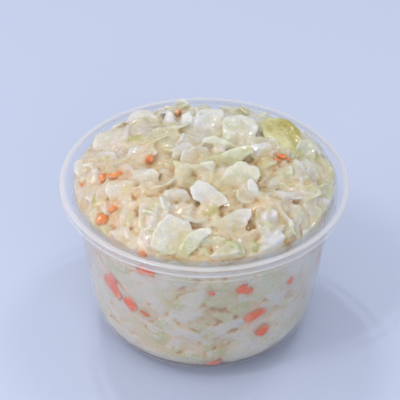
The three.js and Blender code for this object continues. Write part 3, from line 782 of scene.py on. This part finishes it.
def dressed_cabbage():
    """Chopped cabbage under mayonnaise dressing, smooth and wet. The vertex value tint takes the
    pieces from white heart to pale green. The value relief, from 0 in a hollow over 0.5 to 1 on an
    edge, takes the surface from tan over a cream film to the bare pieces. The tan is partly dressing
    gathered low and partly painted shade, and the whitening on the highest edges is a painted
    highlight. The value stain tints it peach: round each bit of carrot, where its juice has
    coloured it, and a little more towards the heap's left and front."""
    material, tree = new_material("cabbage_in_mayonnaise_dressing")
    place = add_node(tree, "ShaderNodeTexCoord").outputs["Object"]
    clouds = noise(tree, place, 160.0, 3.0)
    regions = noise(tree, place, 80.0, 1.0)
    grain = noise(tree, place, 900.0, 3.0)
    level = vertex_value(tree, "relief")
    for sway in (
            mapped(tree, clouds, 0.3, 0.7, -0.09, 0.09),
            mapped(tree, regions, 0.35, 0.65, 0.1, -0.04),
            mapped(tree, grain, 0.3, 0.7, -0.08, 0.08)):
        level = calculated(tree, "ADD", level, sway)

    tint = vertex_value(tree, "tint")
    drift = mapped(tree, noise(tree, place, 280.0, 2.0), 0.3, 0.7, -0.22, 0.22)
    vegetable = colour_ramp(
        tree, calculated(tree, "ADD", tint, drift), (0.0, "#C8CACB"), (0.25, "#C9C9BD"),
        (0.5, "#C2C3A8"), (0.75, "#BABE94"), (1.0, "#ABB274"))
    # Tan where the relief is low: partly dressing gathered there, partly painted shade in the creases
    # between the pieces.
    pool_and_painted_shade = colour_ramp(tree, level, (0.0, "#BA9058"), (0.2, "#D6BB92"), (0.5, "#DCCBAA"))
    across = add_node(tree, "ShaderNodeSeparateXYZ", inputs={"Vector": place}).outputs[0]
    green_side = mapped(tree, across, -0.03, 0.0, 0.0, 1.0)
    leafy = mapped(tree, regions, 0.42, 0.6, 0.0, green_side)
    most_green = calculated(tree, "MAXIMUM", leafy, mapped(tree, tint, 0.7, 1.0, 0.0, 0.8))
    olive = mixed(tree, most_green, pool_and_painted_shade, srgb("#E2DDAE"), "MULTIPLY")
    coated = mixed(tree, mapped(tree, level, 0.06, 0.8, 0.0, 1.0), olive, vegetable)
    stained = mixed(tree, vertex_value(tree, "stain"), coated, srgb("#F6C49A"), "MULTIPLY")
    # The highest edges are mixed towards white: a painted highlight.
    colour = mixed(tree, mapped(tree, level, 0.76, 1.0, 0.0, 0.4), stained, srgb("#DCDFDE"))

    height = calculated(tree, "MULTIPLY_ADD", clouds, 2.0, grain)
    beads = noise(tree, place, 300.0, 1.5, 1.6)
    cream = add_node(tree, "ShaderNodeBsdfPrincipled", inputs={
        "Base Color": colour, "Roughness": 0.4, "IOR": 1.42, "Subsurface Weight": 0.8,
        "Subsurface Radius": (1.0, 0.75, 0.4), "Subsurface Scale": 0.0024, "Coat Weight": 0.9,
        "Coat Roughness": 0.06, "Coat IOR": 1.7, "Normal": bumped(tree, height, 0.5, 0.0006),
        "Coat Normal": bumped(tree, beads, 0.55, 0.0012)})
    add_node(tree, "ShaderNodeOutputMaterial", inputs={"Surface": cream.outputs[0]})
    return material


CABBAGE = dressed_cabbage()

flake_parts, flake_tints = main_flake_parts()
main_vertices, main_faces, _ = joined(flake_parts)
main_flakes = new_piece("cabbage_flakes_large", main_vertices, main_faces)
store(main_flakes, "tint", flake_tints)
press(main_flakes, 0.1)

# The smaller ones are laid by the hundred. The dressing is drawn over them as one skin, and they
# are then taken away, because nothing of them shows but their form.


def room_between(x, y):
    """Little room where a large flake lies already."""
    room = np.ones_like(x)
    for place_x, place_y, *_, corners in MAIN_FLAKES:
        reach = 0.5 * np.hypot(*np.transpose(corners)).mean()
        room *= 1 - 0.95 * np.exp(-(((x - place_x) ** 2 + (y - place_y) ** 2) / reach ** 2) ** 2)
    return np.where(np.hypot(x, y) > 41.5, 1.0, room)


scatter = scatter_tree("pieces_over_a_surface")

small_shapes = collection_of("small_flakes", [
    small_flake(length, width, thickness, curl, 11 + index, 4 + index % 3)
    for index, (length, width, thickness, curl) in enumerate([
        (11.0, 8.5, 1.2, 1.3), (9.0, 7.0, 1.3, 0.8), (12.0, 7.0, 1.2, -1.0), (8.0, 7.0, 1.8, 0.4),
        (10.0, 6.0, 1.2, 0.9), (12.0, 9.5, 1.1, 1.6), (7.0, 5.5, 1.3, -0.5), (10.5, 8.0, 1.1, -1.2),
        (8.0, 4.5, 1.6, 0.3), (6.0, 5.5, 2.2, 0.2), (4.0, 3.6, 1.8, 0.1), (5.0, 3.0, 1.6, 0.1)])])
small_flakes = grown("cabbage_flakes_small", top_ground("top_for_flakes", room_between), scatter, {
    "Pieces": small_shapes, "Spacing": 3.2 * MM, "Density": 180000.0, "Lean": 0.42, "Smallest": 0.7,
    "Largest": 1.15, "Deepest": -0.5 * MM, "Highest": 0.8 * MM, "Whitest": 0.0, "Greenest": 0.75,
    "Seed": 4, "Finish": CABBAGE})
press(small_flakes, 0.1)


def room_for_shreds(x, y):
    """Shreds lie mostly on the right and along the left of the heap."""
    right = 1 / (1 + np.exp(-(x - 24) / 3))
    left = 0.35 / (1 + np.exp((x + 22) / 4))
    return np.clip(right + left + 0.06, 0, 1)


shred_shapes = collection_of("shreds", [
    small_flake(13.0, 2.0, 1.2, -0.2, 21, 4), small_flake(10.0, 1.6, 1.1, 0.3, 22, 4),
    small_flake(15.0, 2.3, 1.2, 0.2, 23, 4), small_flake(6.0, 2.2, 1.3, 0.2, 24, 4),
    small_flake(4.0, 2.6, 1.4, 0.2, 25, 5)])
shreds = grown("cabbage_shreds", top_ground("top_for_shreds", room_for_shreds), scatter, {
    "Pieces": shred_shapes, "Spacing": 2.6 * MM, "Density": 300000.0, "Lean": 0.3, "Smallest": 0.6,
    "Largest": 1.1, "Deepest": -0.6 * MM, "Highest": 0.7 * MM, "Whitest": 0.0, "Greenest": 0.45,
    "Seed": 9, "Finish": CABBAGE})
press(shreds, 0.12)

wall_shapes = collection_of("wall_flakes", [
    small_flake(length, width, 1.6, 0.3, 31 + index, 4 + index % 3)
    for index, (length, width) in enumerate([
        (15.0, 10.0), (11.0, 8.0), (17.0, 7.0), (9.0, 8.0), (13.0, 4.5), (12.0, 11.0), (8.0, 5.0)])])
wall_flakes = grown("cabbage_flakes_at_wall", wall_ground("wall_for_flakes", 0.9), scatter, {
    "Pieces": wall_shapes, "Spacing": 4.8 * MM, "Density": 120000.0, "Lean": 0.3, "Smallest": 0.6,
    "Largest": 1.2, "Deepest": -0.7 * MM, "Highest": 0.5 * MM, "Whitest": 0.0, "Greenest": 0.8,
    "Seed": 14, "Finish": CABBAGE})
press(wall_flakes, 0.1)

for used in (small_shapes, shred_shapes, wall_shapes):
    empty_collection(used)


def against_wall(vertices, bearing, height, turn):
    """Lays a piece flat against the plastic: its length along the wall, turned by turn degrees."""
    round_cup = math.radians(bearing)
    outward = Matrix(((0, 0, 1), (1, 0, 0), (0, 1, 0)))
    flat_turn = Matrix.Rotation(math.radians(turn), 3, "Z")
    spun = Matrix.Rotation(round_cup, 3, "Z") @ outward @ flat_turn
    radius = float(inner_radius(height)) - 0.4
    place = (radius * math.cos(round_cup), radius * math.sin(round_cup), height)
    return np.asarray(vertices) @ np.array(spun).T + place


# bearing, height, length, width, turn
GREEN_AT_WALL = [
    (-111, 20, 7, 5, 60), (-110, 27, 5, 3, 20), (-83, 47.5, 7, 3.5, 0), (-130, 46, 7, 3.5, 40),
    (-139, 45, 4.5, 3, 60), (-71, 37.5, 5, 3, 0), (-102, 37, 5, 2.5, 0), (-81, 15, 4, 3, 0),
    (10, 30, 9, 6, 20), (60, 44, 9, 5, 50), (120, 26, 9, 6, 80), (170, 38, 8, 5, 10),
]
green_parts = []
for index, (bearing, height, length, width, turn) in enumerate(GREEN_AT_WALL):
    patch_vertices, patch_faces = small_flake(length, width, 1.4, 0.2, 310 + index)
    green_parts.append((against_wall(patch_vertices, bearing, height, turn), patch_faces))
green_vertices, green_faces, _ = joined(green_parts)
green_at_wall = new_piece("cabbage_green_at_wall", pressed(green_vertices, 0.1), green_faces)
store(green_at_wall, "tint", np.full(len(green_vertices), 0.9))

# ---------------------------------------------------------------- the dressing
# Mayonnaise dressing that coats every piece and fills the gaps between them: one skin drawn over
# the mound and the flakes, cream on the pieces and tan where it lies low, which is partly dressing
# gathered there and partly painted shade.

TOP_VOXEL = 0.32
SIDE_VOXEL = 0.52
CORE_INSET = 0.7
CORE_SINK = 0.1
SIDE_INSET = 0.8
CHOP_SIZE = 4.6
GAP_CLOSED = 0.42
TOP_SET_BACK = 0.35
SIDE_SET_BACK = 0.42
HALVES_MEET = 56.0
MOST_TRIANGLES = 190000


def mesh_parts(piece):
    """Vertices in millimetres and faces of a piece."""
    return coordinates(piece), [tuple(face.vertices) for face in piece.data.polygons]


def directions(piece):
    """The normal of each vertex."""
    flat = np.empty(len(piece.data.vertices) * 3, np.float32)
    piece.data.vertices.foreach_get("normal", flat)
    return flat.reshape(-1, 3).astype(float)


def ridges(skin, rounds=8):
    """How far each vertex stands out from the skin smoothed over about a millimetre."""
    ends = np.empty(len(skin.data.edges) * 2, np.int32)
    skin.data.edges.foreach_get("vertices", ends)
    one, other = ends.reshape(-1, 2).T
    points = coordinates(skin)
    count = np.bincount(ends, minlength=len(points))
    smooth = points.copy()
    for _ in range(rounds):
        total = np.empty_like(points)
        for axis in range(3):
            total[:, axis] = np.bincount(one, smooth[other, axis], len(points))
            total[:, axis] += np.bincount(other, smooth[one, axis], len(points))
        smooth = total / count[:, None]
    return ((points - smooth) * directions(skin)).sum(1)


def drop_scraps(skin, fewest=100):
    """Takes out the loose bits of a few faces that the thinning leaves beside the skin."""
    skin.data.validate()
    form = bmesh.new()
    form.from_mesh(skin.data)
    unseen = set(form.verts)
    scraps = []
    while unseen:
        bit = [unseen.pop()]
        for vertex in bit:
            found = {edge.other_vert(vertex) for edge in vertex.link_edges} & unseen
            unseen -= found
            bit += found
        if len(bit) < fewest:
            scraps += bit
    bmesh.ops.delete(form, geom=scraps, context="VERTS")
    form.to_mesh(skin.data)
    form.free()


def drawn_over(name, parts, voxel, set_back):
    """One closed skin over many closed parts. Gaps narrower than about twice GAP_CLOSED fill up,
    and the skin then draws back so that the pieces stand proud of it."""
    vertices, faces, _ = joined(parts)
    block = new_piece(name + "_block", vertices, faces)

    def remesh(size):
        step = block.modifiers.new("merge", "REMESH")
        step.mode = "VOXEL"
        step.voxel_size = size * MM

    def grow(distance):
        step = block.modifiers.new("grow", "DISPLACE")
        step.mid_level = 0.0
        step.strength = distance * MM

    remesh(voxel)
    grow(GAP_CLOSED)
    remesh(voxel)
    grow(-set_back)
    remesh(voxel)
    soften = block.modifiers.new("soften", "SMOOTH")
    soften.factor = 0.5
    soften.iterations = 4
    dense = as_mesh(block, name)
    store(dense, "ridge", ridges(dense))
    thinned = dense.modifiers.new("thin", "DECIMATE")
    thinned.ratio = min(1.0, MOST_TRIANGLES / (2 * len(dense.data.polygons)))
    skin = as_mesh(dense, name)
    drop_scraps(skin)
    return skin


def chop_skin(skin, strength, seed=5):
    """Breaks the skin into small tilted facets with grooves between them, as the chopped pieces
    under the dressing do. Returns how near each vertex lies to a groove, 0 to 1."""
    random = np.random.default_rng(seed)
    points = coordinates(skin)
    normals = directions(skin)
    low, high = points.min(0), points.max(0)
    count = int(np.prod(high - low) / CHOP_SIZE ** 3)
    seeds = random.uniform(low, high, (count, 3))
    tilts = random.normal(0, 1, (count, 3))
    heights = random.uniform(-0.35, 0.35, count)
    tree = KDTree(count)
    for index, place in enumerate(seeds):
        tree.insert(place, index)
    tree.balance()
    wave = 1.1 * np.sin(points[:, [1, 2, 0]] / 2.3) + 0.6 * np.sin(points[:, [2, 0, 1]] / 1.1 + 1.3)
    found = [tree.find_n(point, 2) for point in points + wave]
    first = np.array([pair[0][1] for pair in found])
    gap = np.array([pair[1][2] - pair[0][2] for pair in found])
    tilted = np.einsum("ij,ij->i", tilts[first], points - seeds[first]) / CHOP_SIZE
    groove = np.exp(-(gap / 0.5) ** 2) * (0.35 + 0.65 * np.abs(np.sin(7.1 * first)))
    move = np.clip(0.55 * tilted, -0.6, 0.6) + heights[first] - 0.55 * groove
    set_coordinates(skin, points + strength * normals * move[:, None])
    return groove


def local_relief(points, cell=0.5, spread=4):
    """Where each point stands against what lies round it: 0 in a hollow, 1 on an edge. On the heap
    it is measured against the height smoothed over a few millimetres, and at the wall by how far
    behind the plastic the point lies."""
    x, y, z = points.T
    reach = 52
    lowest_on_top = -6
    size = int(2 * reach / cell)
    column = np.clip(((x + reach) / cell).astype(int), 0, size - 1)
    row = np.clip(((y + reach) / cell).astype(int), 0, size - 1)
    proud = z - heap_height(x, y)
    top = np.full((size, size), -1e9)
    np.maximum.at(top, (row, column), proud)
    filled = top > lowest_on_top
    total, weight = np.where(filled, top, 0.0), filled.astype(float)
    window = np.ones(2 * spread + 1)
    for _ in range(2):
        for axis in (0, 1):
            total = np.apply_along_axis(np.convolve, axis, total, window, "same")
            weight = np.apply_along_axis(np.convolve, axis, weight, window, "same")
    level = (total / np.maximum(weight, 1e-3))[row, column]
    radius = np.hypot(x, y)
    on_top = 0.52 + (proud - np.clip(level, -2.0, 1.5)) / 4.4
    on_top = on_top + 0.15 * np.clip((radius - 41) / 3, 0, 1)
    on_top = on_top + 0.15 * np.clip(y / 22, -0.9, 1) + 0.05 * np.clip((x - 12) / 10, 0, 1)
    behind = inner_radius(z) - radius
    # Deeper behind the plastic reads lower, which the material paints tan: partly dressing between
    # the pieces, partly painted shade.
    at_wall = 0.76 - 0.6 * np.clip(0.8 * behind, 0, 1)
    near_wall = np.clip((1.6 - behind) / 1.2, 0, 1) * (z < CUP_HEIGHT - 0.5)
    facing_out = np.where(proud < lowest_on_top, 1.0, near_wall)
    return np.clip(on_top * (1 - facing_out) + at_wall * facing_out, 0, 1)


def stored(piece, name):
    """The numbers that were stored for a piece's vertices."""
    values = np.empty(len(piece.data.vertices), np.float32)
    piece.data.attributes[name].data.foreach_get("value", values)
    return values


def dress(name, core, flakes, voxel, set_back, chop, crease):
    """Draws the dressing over a core and its flakes, and gives each point of it the tint of the
    nearest flake and its relief. Crease says how far painted shade darkens the small creases, and
    convex edges are raised towards the painted highlight."""
    skin = drawn_over(name, [core] + [mesh_parts(piece) for piece in flakes], voxel, set_back)
    grooves = chop_skin(skin, chop)
    press(skin, 0.03)
    points = coordinates(skin)
    flake_points = np.vstack([coordinates(piece) for piece in flakes])
    tints = np.concatenate([stored(piece, "tint") for piece in flakes])
    nearest = KDTree(len(flake_points))
    for index, point in enumerate(flake_points):
        nearest.insert(point, index)
    nearest.balance()
    store(skin, "tint", [tints[nearest.find(point)[1]] for point in points])
    ridge = stored(skin, "ridge")
    # Convex edges are raised towards the painted highlight, and small creases lowered into painted
    # shade.
    edges = 0.5 * np.clip(ridge, 0, 0.3)
    painted_crease_shade = crease * np.clip(ridge, -0.3, 0)
    store(skin, "relief", local_relief(points) + edges + painted_crease_shade - 0.1 * grooves)
    skin.data.materials.clear()
    skin.data.materials.append(CABBAGE)
    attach(skin, "root")
    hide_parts("slaw")
    return skin


# A wad of cabbage under the green leaf, tilted as the leaf is, so that the leaf rests on something.
LEAF_X, LEAF_Y = 27.0, 10.5
WAD_CORNERS = ((-5, -4), (0, -6), (5, -5), (5.5, 1), (2.5, 6), (-3, 6), (-6, 4))
wad_vertices, wad_faces = flake(WAD_CORNERS, 3.0, 0.6, 0.2, 0, 77)
wad = new_piece("cabbage_wad", on_heap(wad_vertices, LEAF_X, LEAF_Y, 0, 8, 14, 1.1), wad_faces)
store(wad, "tint", np.full(len(wad_vertices), 0.3))
press(wad, 0.1)

top_core = mound_mesh(HALVES_MEET - 2, CORE_INSET, CORE_SINK)
top_flakes = [main_flakes, small_flakes, shreds, wad]
top_skin = dress("dressed_slaw_top", top_core, top_flakes, TOP_VOXEL, TOP_SET_BACK, 0.12, 0.6)

SIDE_BOTTOM = FOOT_LIFT + WALL
SIDE_TOP = HALVES_MEET + 2
side_profile = [
    (0, SIDE_BOTTOM),
    (26.0, SIDE_BOTTOM),
    *[(float(inner_radius(z)) - SIDE_INSET, z) for z in np.linspace(3.0, SIDE_TOP, 22)],
    (0, SIDE_TOP),
]
side_core = turned(side_profile, 100)
side_flakes = [wall_flakes, green_at_wall]
side_skin = dress("dressed_slaw_side", side_core, side_flakes, SIDE_VOXEL, SIDE_SET_BACK, 0.3, 2.6)

for laid in top_flakes + side_flakes:
    remove(laid)

# ---------------------------------------------------------------- the green leaf
# A torn piece of outer cabbage leaf, thin, pale yellow-green and wet. It lies at the back right on
# the wad of chopped cabbage, and the dressing holds it there.

LEAF_CORNERS = (
    (-7.5, 1), (-6, -3.5), (-3.5, -7), (-0.5, -9.5), (3.5, -12.5), (7, -8), (7.5, -1.5), (6, 2.5),
    (3.5, 6.5), (1, 8), (-3.5, 7.5), (-7.5, 5.5))


def green_leaf():
    """Outer cabbage leaf, wet with dressing: yellow-green with paler veins."""
    material, tree = new_material("cabbage_leaf_green")
    place = add_node(tree, "ShaderNodeTexCoord").outputs["Object"]
    cells = add_node(tree, "ShaderNodeTexVoronoi", {"feature": "DISTANCE_TO_EDGE"}, {
        "Vector": place, "Scale": 420.0})
    vein = mapped(tree, cells.outputs["Distance"], 0.0, 0.25, 0.2, 0.0)
    clouds = noise(tree, place, 120.0, 3.0)
    flesh = colour_ramp(tree, clouds, (0.3, "#A59A4C"), (0.68, "#D8D4A8"))
    skin = add_node(tree, "ShaderNodeBsdfPrincipled", inputs={
        "Base Color": mixed(tree, vein, flesh, srgb("#D6D8A6")), "Roughness": 0.4, "IOR": 1.4,
        "Subsurface Weight": 0.2, "Subsurface Radius": (0.8, 1.0, 0.4), "Subsurface Scale": 0.001,
        "Coat Weight": 0.3, "Coat Roughness": 0.12, "Normal": bumped(tree, clouds, 0.7, 0.0025)})
    add_node(tree, "ShaderNodeOutputMaterial", inputs={"Surface": skin.outputs[0]})
    return material


leaf_vertices, leaf_faces = flake(LEAF_CORNERS, 0.9, 0.3, 0.4, 0.5, 300)
leaf_vertices = on_heap(leaf_vertices, LEAF_X, LEAF_Y, 0, 8, 14, 3.6)
leaf = new_piece("green_leaf_large", pressed(leaf_vertices, 0.16), leaf_faces)
leaf.data.materials.append(green_leaf())
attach(leaf, "root")
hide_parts("slaw")

# ---------------------------------------------------------------- the carrot
# Raw carrot cut in dice and slivers, moist and lightly filmed with dressing. It lies on the left
# of the heap and here and there against the plastic.

# x, y, length, width, thickness, turn, lift
CARROT_ON_TOP = [
    (-18.8, -5.6, 2.9, 2.7, 2.0, 20, 1.2), (-29.4, -14.0, 6.4, 1.9, 1.4, 8, 1.1),
    (-34.4, -12.0, 3.0, 2.7, 1.8, 30, 0.9), (-39.2, 13.8, 3.2, 0.9, 0.9, 70, 0.8),
    (-38.2, 13.0, 2.6, 0.8, 0.9, -10, 0.9), (-41.6, -8.8, 2.3, 1.6, 1.2, 0, 0.7),
    (-29.7, -24.2, 4.3, 2.0, 1.4, 40, 1.1), (-33.9, -26.8, 3.9, 3.6, 2.4, 64, 1.3),
    (26.2, -4.4, 3.2, 1.6, 1.2, -16, 1.7), (28.0, -5.0, 2.2, 1.2, 1.2, 30, 1.5),
    (24.6, -6.0, 2.0, 1.2, 1.2, -40, 1.2), (-19.7, -41.0, 3.4, 2.4, 1.5, 50, 0.9),
    (-10.0, 28.0, 2.6, 1.2, 1.2, 60, 1.6),
]
# bearing, height, length, width, turn
CARROT_AT_WALL = [
    (-136.5, 35.0, 10.5, 5.6, -48), (-126.0, 31.4, 6.4, 4.8, -50), (-118.5, 29.8, 3.6, 1.0, -20),
    (-115.0, 52.0, 5.5, 3.2, -20), (-118.0, 50.6, 3.0, 2.2, 10), (-72.5, 45.4, 3.8, 3.6, 0),
    (-69.0, 44.2, 3.0, 2.4, 20), (-86.0, 45.2, 2.0, 1.6, 0), (-64.5, 30.8, 7.6, 4.0, 22),
    (-59.0, 20.9, 4.8, 3.6, 40), (-46.0, 40.7, 3.0, 2.2, 60), (-84.0, 8.0, 5.0, 2.2, 0),
    (-10.0, 34.0, 7.0, 3.0, 40), (25.0, 20.0, 4.0, 3.0, 0), (48.0, 46.0, 6.0, 2.6, -30),
    (80.0, 28.0, 4.0, 3.4, 10), (104.0, 40.0, 8.0, 2.8, 60), (140.0, 18.0, 5.0, 3.0, -20),
    (176.0, 48.0, 4.0, 3.0, 0),
]


def diced(length, width, thickness, seed):
    """A cut bit of carrot: nearly straight sides, corners rounded off, a little askew."""
    random = np.random.default_rng(seed)
    angles = np.arange(SMALL_POINTS) * 2 * math.pi / SMALL_POINTS + 0.2
    circle = np.stack([np.cos(angles), np.sin(angles)], 1)
    squared = np.sign(circle) * np.abs(circle) ** 0.55
    uneven = 1 + random.uniform(-0.18, 0.18, SMALL_POINTS)
    outline = squared * uneven[:, None] * (length / 2, width / 2)
    skew = random.uniform(-0.25, 0.25)
    slope = random.uniform(-0.2, 0.2)
    bow = random.uniform(-0.3, 0.3)
    taper = random.uniform(-0.5, 0.5)

    def placed(share, side, thick):
        x, y = (outline * share).T
        y = y * (1 + taper * 2 * x / length)
        z = side * 0.5 * thickness * thick * (1 + slope * x / length) + bow * (2 * x / length) ** 2
        return np.stack([x + skew * y, y, z], 1)

    return thin_solid(placed, SMALL_SHARES, SMALL_THICKNESS)


def carrot_flesh():
    """Raw carrot, moist: orange with paler streaks. The vertex value film, from 0 to 1, covers it
    with dressing towards its edges, and the value behind reddens what lies behind the plastic."""
    material, tree = new_material("carrot_raw_cut")
    place = add_node(tree, "ShaderNodeTexCoord").outputs["Object"]
    clouds = noise(tree, place, 350.0, 3.0)
    flesh = colour_ramp(tree, clouds, (0.3, "#C9692A"), (0.72, "#E0914A"))
    reddened = mixed(tree, vertex_value(tree, "behind"), flesh, srgb("#DC560A"))
    uneven = mapped(tree, clouds, 0.35, 0.65, -0.3, 0.2)
    film = calculated(tree, "ADD", vertex_value(tree, "film"), uneven, clamp=True)
    skin = add_node(tree, "ShaderNodeBsdfPrincipled", inputs={
        "Base Color": mixed(tree, film, reddened, srgb("#D9C2A6")), "Roughness": 0.4, "IOR": 1.4,
        "Subsurface Weight": 0.25, "Subsurface Radius": (1.0, 0.4, 0.2), "Subsurface Scale": 0.0012,
        "Coat Weight": 0.5, "Coat Roughness": 0.15, "Normal": bumped(tree, clouds, 0.3, 0.0004)})
    add_node(tree, "ShaderNodeOutputMaterial", inputs={"Surface": skin.outputs[0]})
    return material


carrot_parts = []
for index, (x, y, length, width, thickness, turn, lift) in enumerate(CARROT_ON_TOP):
    bit_vertices, bit_faces = diced(length, width, thickness, 400 + index)
    carrot_parts.append((on_heap(bit_vertices, x, y, turn, 0, 20, lift - 0.25), bit_faces))
for index, (bearing, height, length, width, turn) in enumerate(CARROT_AT_WALL):
    bit_vertices, bit_faces = diced(length, width, 2.0, 450 + index)
    carrot_parts.append((against_wall(bit_vertices, bearing, height, turn), bit_faces))
carrot_all, carrot_faces, carrot_source = joined(carrot_parts)
carrot = new_piece("carrot_pieces", pressed(carrot_all, 0.3), carrot_faces)
film_of_bit = np.repeat((0, 0.05, 0.7, 1, 1, 0.7, 0.05, 0), [1] + [SMALL_POINTS] * 6 + [1])
store(carrot, "film", np.tile(film_of_bit, len(carrot_parts)) * 0.4)
store(carrot, "behind", 0.85 * (carrot_source >= len(CARROT_ON_TOP)))

# Carrot juice has coloured the dressing round each bit, and the dressing is tinted peach a little
# more towards the heap's left and front.
bit_centres = [np.mean(vertices, 0) for vertices, _ in carrot_parts]
bit_reaches = [1.6 + 0.45 * row[2] for row in CARROT_ON_TOP + CARROT_AT_WALL]
for skin, spread in ((top_skin, 0.22), (side_skin, 0.14)):
    skin_points = coordinates(skin)
    on_left = spread / (1 + np.exp((skin_points[:, 0] + 16) / 5))
    in_front = 0.35 * spread / (1 + np.exp((skin_points[:, 1] + 14) / 6))
    stains = np.maximum(on_left, in_front)
    for centre, reach in zip(bit_centres, bit_reaches):
        far = ((skin_points - centre) ** 2).sum(1) / reach ** 2
        stains = np.maximum(stains, 0.8 * np.exp(-far))
    store(skin, "stain", stains)

carrot.data.materials.append(carrot_flesh())
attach(carrot, "root")
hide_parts("slaw")

# ---------------------------------------------------------------- floor, light and camera
# A pale floor without a pattern. Broad soft lights stand at the left and in front, with a small key
# at the upper left, and three narrow strips overhead give the wet surface its glints. The camera is
# 0.54 m away and looks down at the cup.


def pale_floor():
    """Matt pale blue sheet under and behind the cup."""
    material, tree = new_material("pale_blue_sheet")
    sheet = add_node(tree, "ShaderNodeBsdfPrincipled", inputs={
        "Base Color": srgb("#C1CCE6"), "Roughness": 0.7, "Specular IOR Level": 0.2})
    add_node(tree, "ShaderNodeOutputMaterial", inputs={"Surface": sheet.outputs[0]})
    return material


FLOOR_REACH = 1500
floor_corners = [
    (FLOOR_REACH * x, FLOOR_REACH * y, 0) for x, y in ((-1, -1), (1, -1), (1, 1), (-1, 1))]
floor = new_piece("floor", floor_corners, [(0, 1, 2, 3)])
floor.data.materials.append(pale_floor())


def softbox(name, position, width, length, watts, colour):
    """A rectangular light facing the middle of the food."""
    light = bpy.data.lights.new(name, "AREA")
    light.shape = "RECTANGLE"
    light.size = width
    light.size_y = length
    light.energy = watts
    light.color = srgb(colour)[:3]
    box = bpy.data.objects.new(name, light)
    bpy.context.scene.collection.objects.link(box)
    box.location = position
    towards_food = Vector((0, 0, 0.04)) - Vector(position)
    box.rotation_euler = towards_food.to_track_quat("-Z", "Y").to_euler()


softbox("key", (-0.72, 0.0, 0.64), 0.3, 0.3, 0.4, "#FFFFFF")
softbox("strip", (-0.2, 0.35, 0.88), 0.04, 0.16, 1.4, "#FFFFFF")
softbox("strip_right", (0.3, 0.18, 0.9), 0.04, 0.16, 1.0, "#FFFFFF")
softbox("strip_front", (-0.4, -0.35, 0.85), 0.04, 0.16, 1.2, "#FFFFFF")
softbox("fill", (-0.95, -0.45, 0.25), 0.6, 0.6, 4.1, "#FFF4EC")
softbox("front", (0.25, -0.95, 0.45), 0.8, 0.8, 3.0, "#FFFFFF")

world = bpy.data.worlds.new("studio")
world.use_nodes = True
world.node_tree.nodes.clear()
air = add_node(world.node_tree, "ShaderNodeBackground", inputs={
    "Color": srgb("#F6F6FA"), "Strength": 0.62})
add_node(world.node_tree, "ShaderNodeOutputWorld", inputs={"Surface": air.outputs[0]})
bpy.context.scene.world = world
bpy.context.scene.view_settings.view_transform = "Standard"

# The camera's place, and its bearing, dip and roll in degrees.
CAMERA_PLACE = (0.0, -0.40084, 0.35988)
CAMERA_BEARING = 0.21
CAMERA_DIP = 37.63
CAMERA_ROLL = 0.8
camera_data = bpy.data.cameras.new("camera")
camera_data.lens = 129.02
camera_data.sensor_width = 36.0
camera_data.clip_start = 0.01
camera = bpy.data.objects.new("camera", camera_data)
bpy.context.scene.collection.objects.link(camera)
aim = Matrix.Rotation(math.radians(CAMERA_BEARING), 4, "Z")
aim = aim @ Matrix.Rotation(math.radians(90 - CAMERA_DIP), 4, "X")
aim = aim @ Matrix.Rotation(math.radians(CAMERA_ROLL), 4, "Z")
camera.matrix_world = Matrix.Translation(CAMERA_PLACE) @ aim
bpy.context.scene.camera = camera
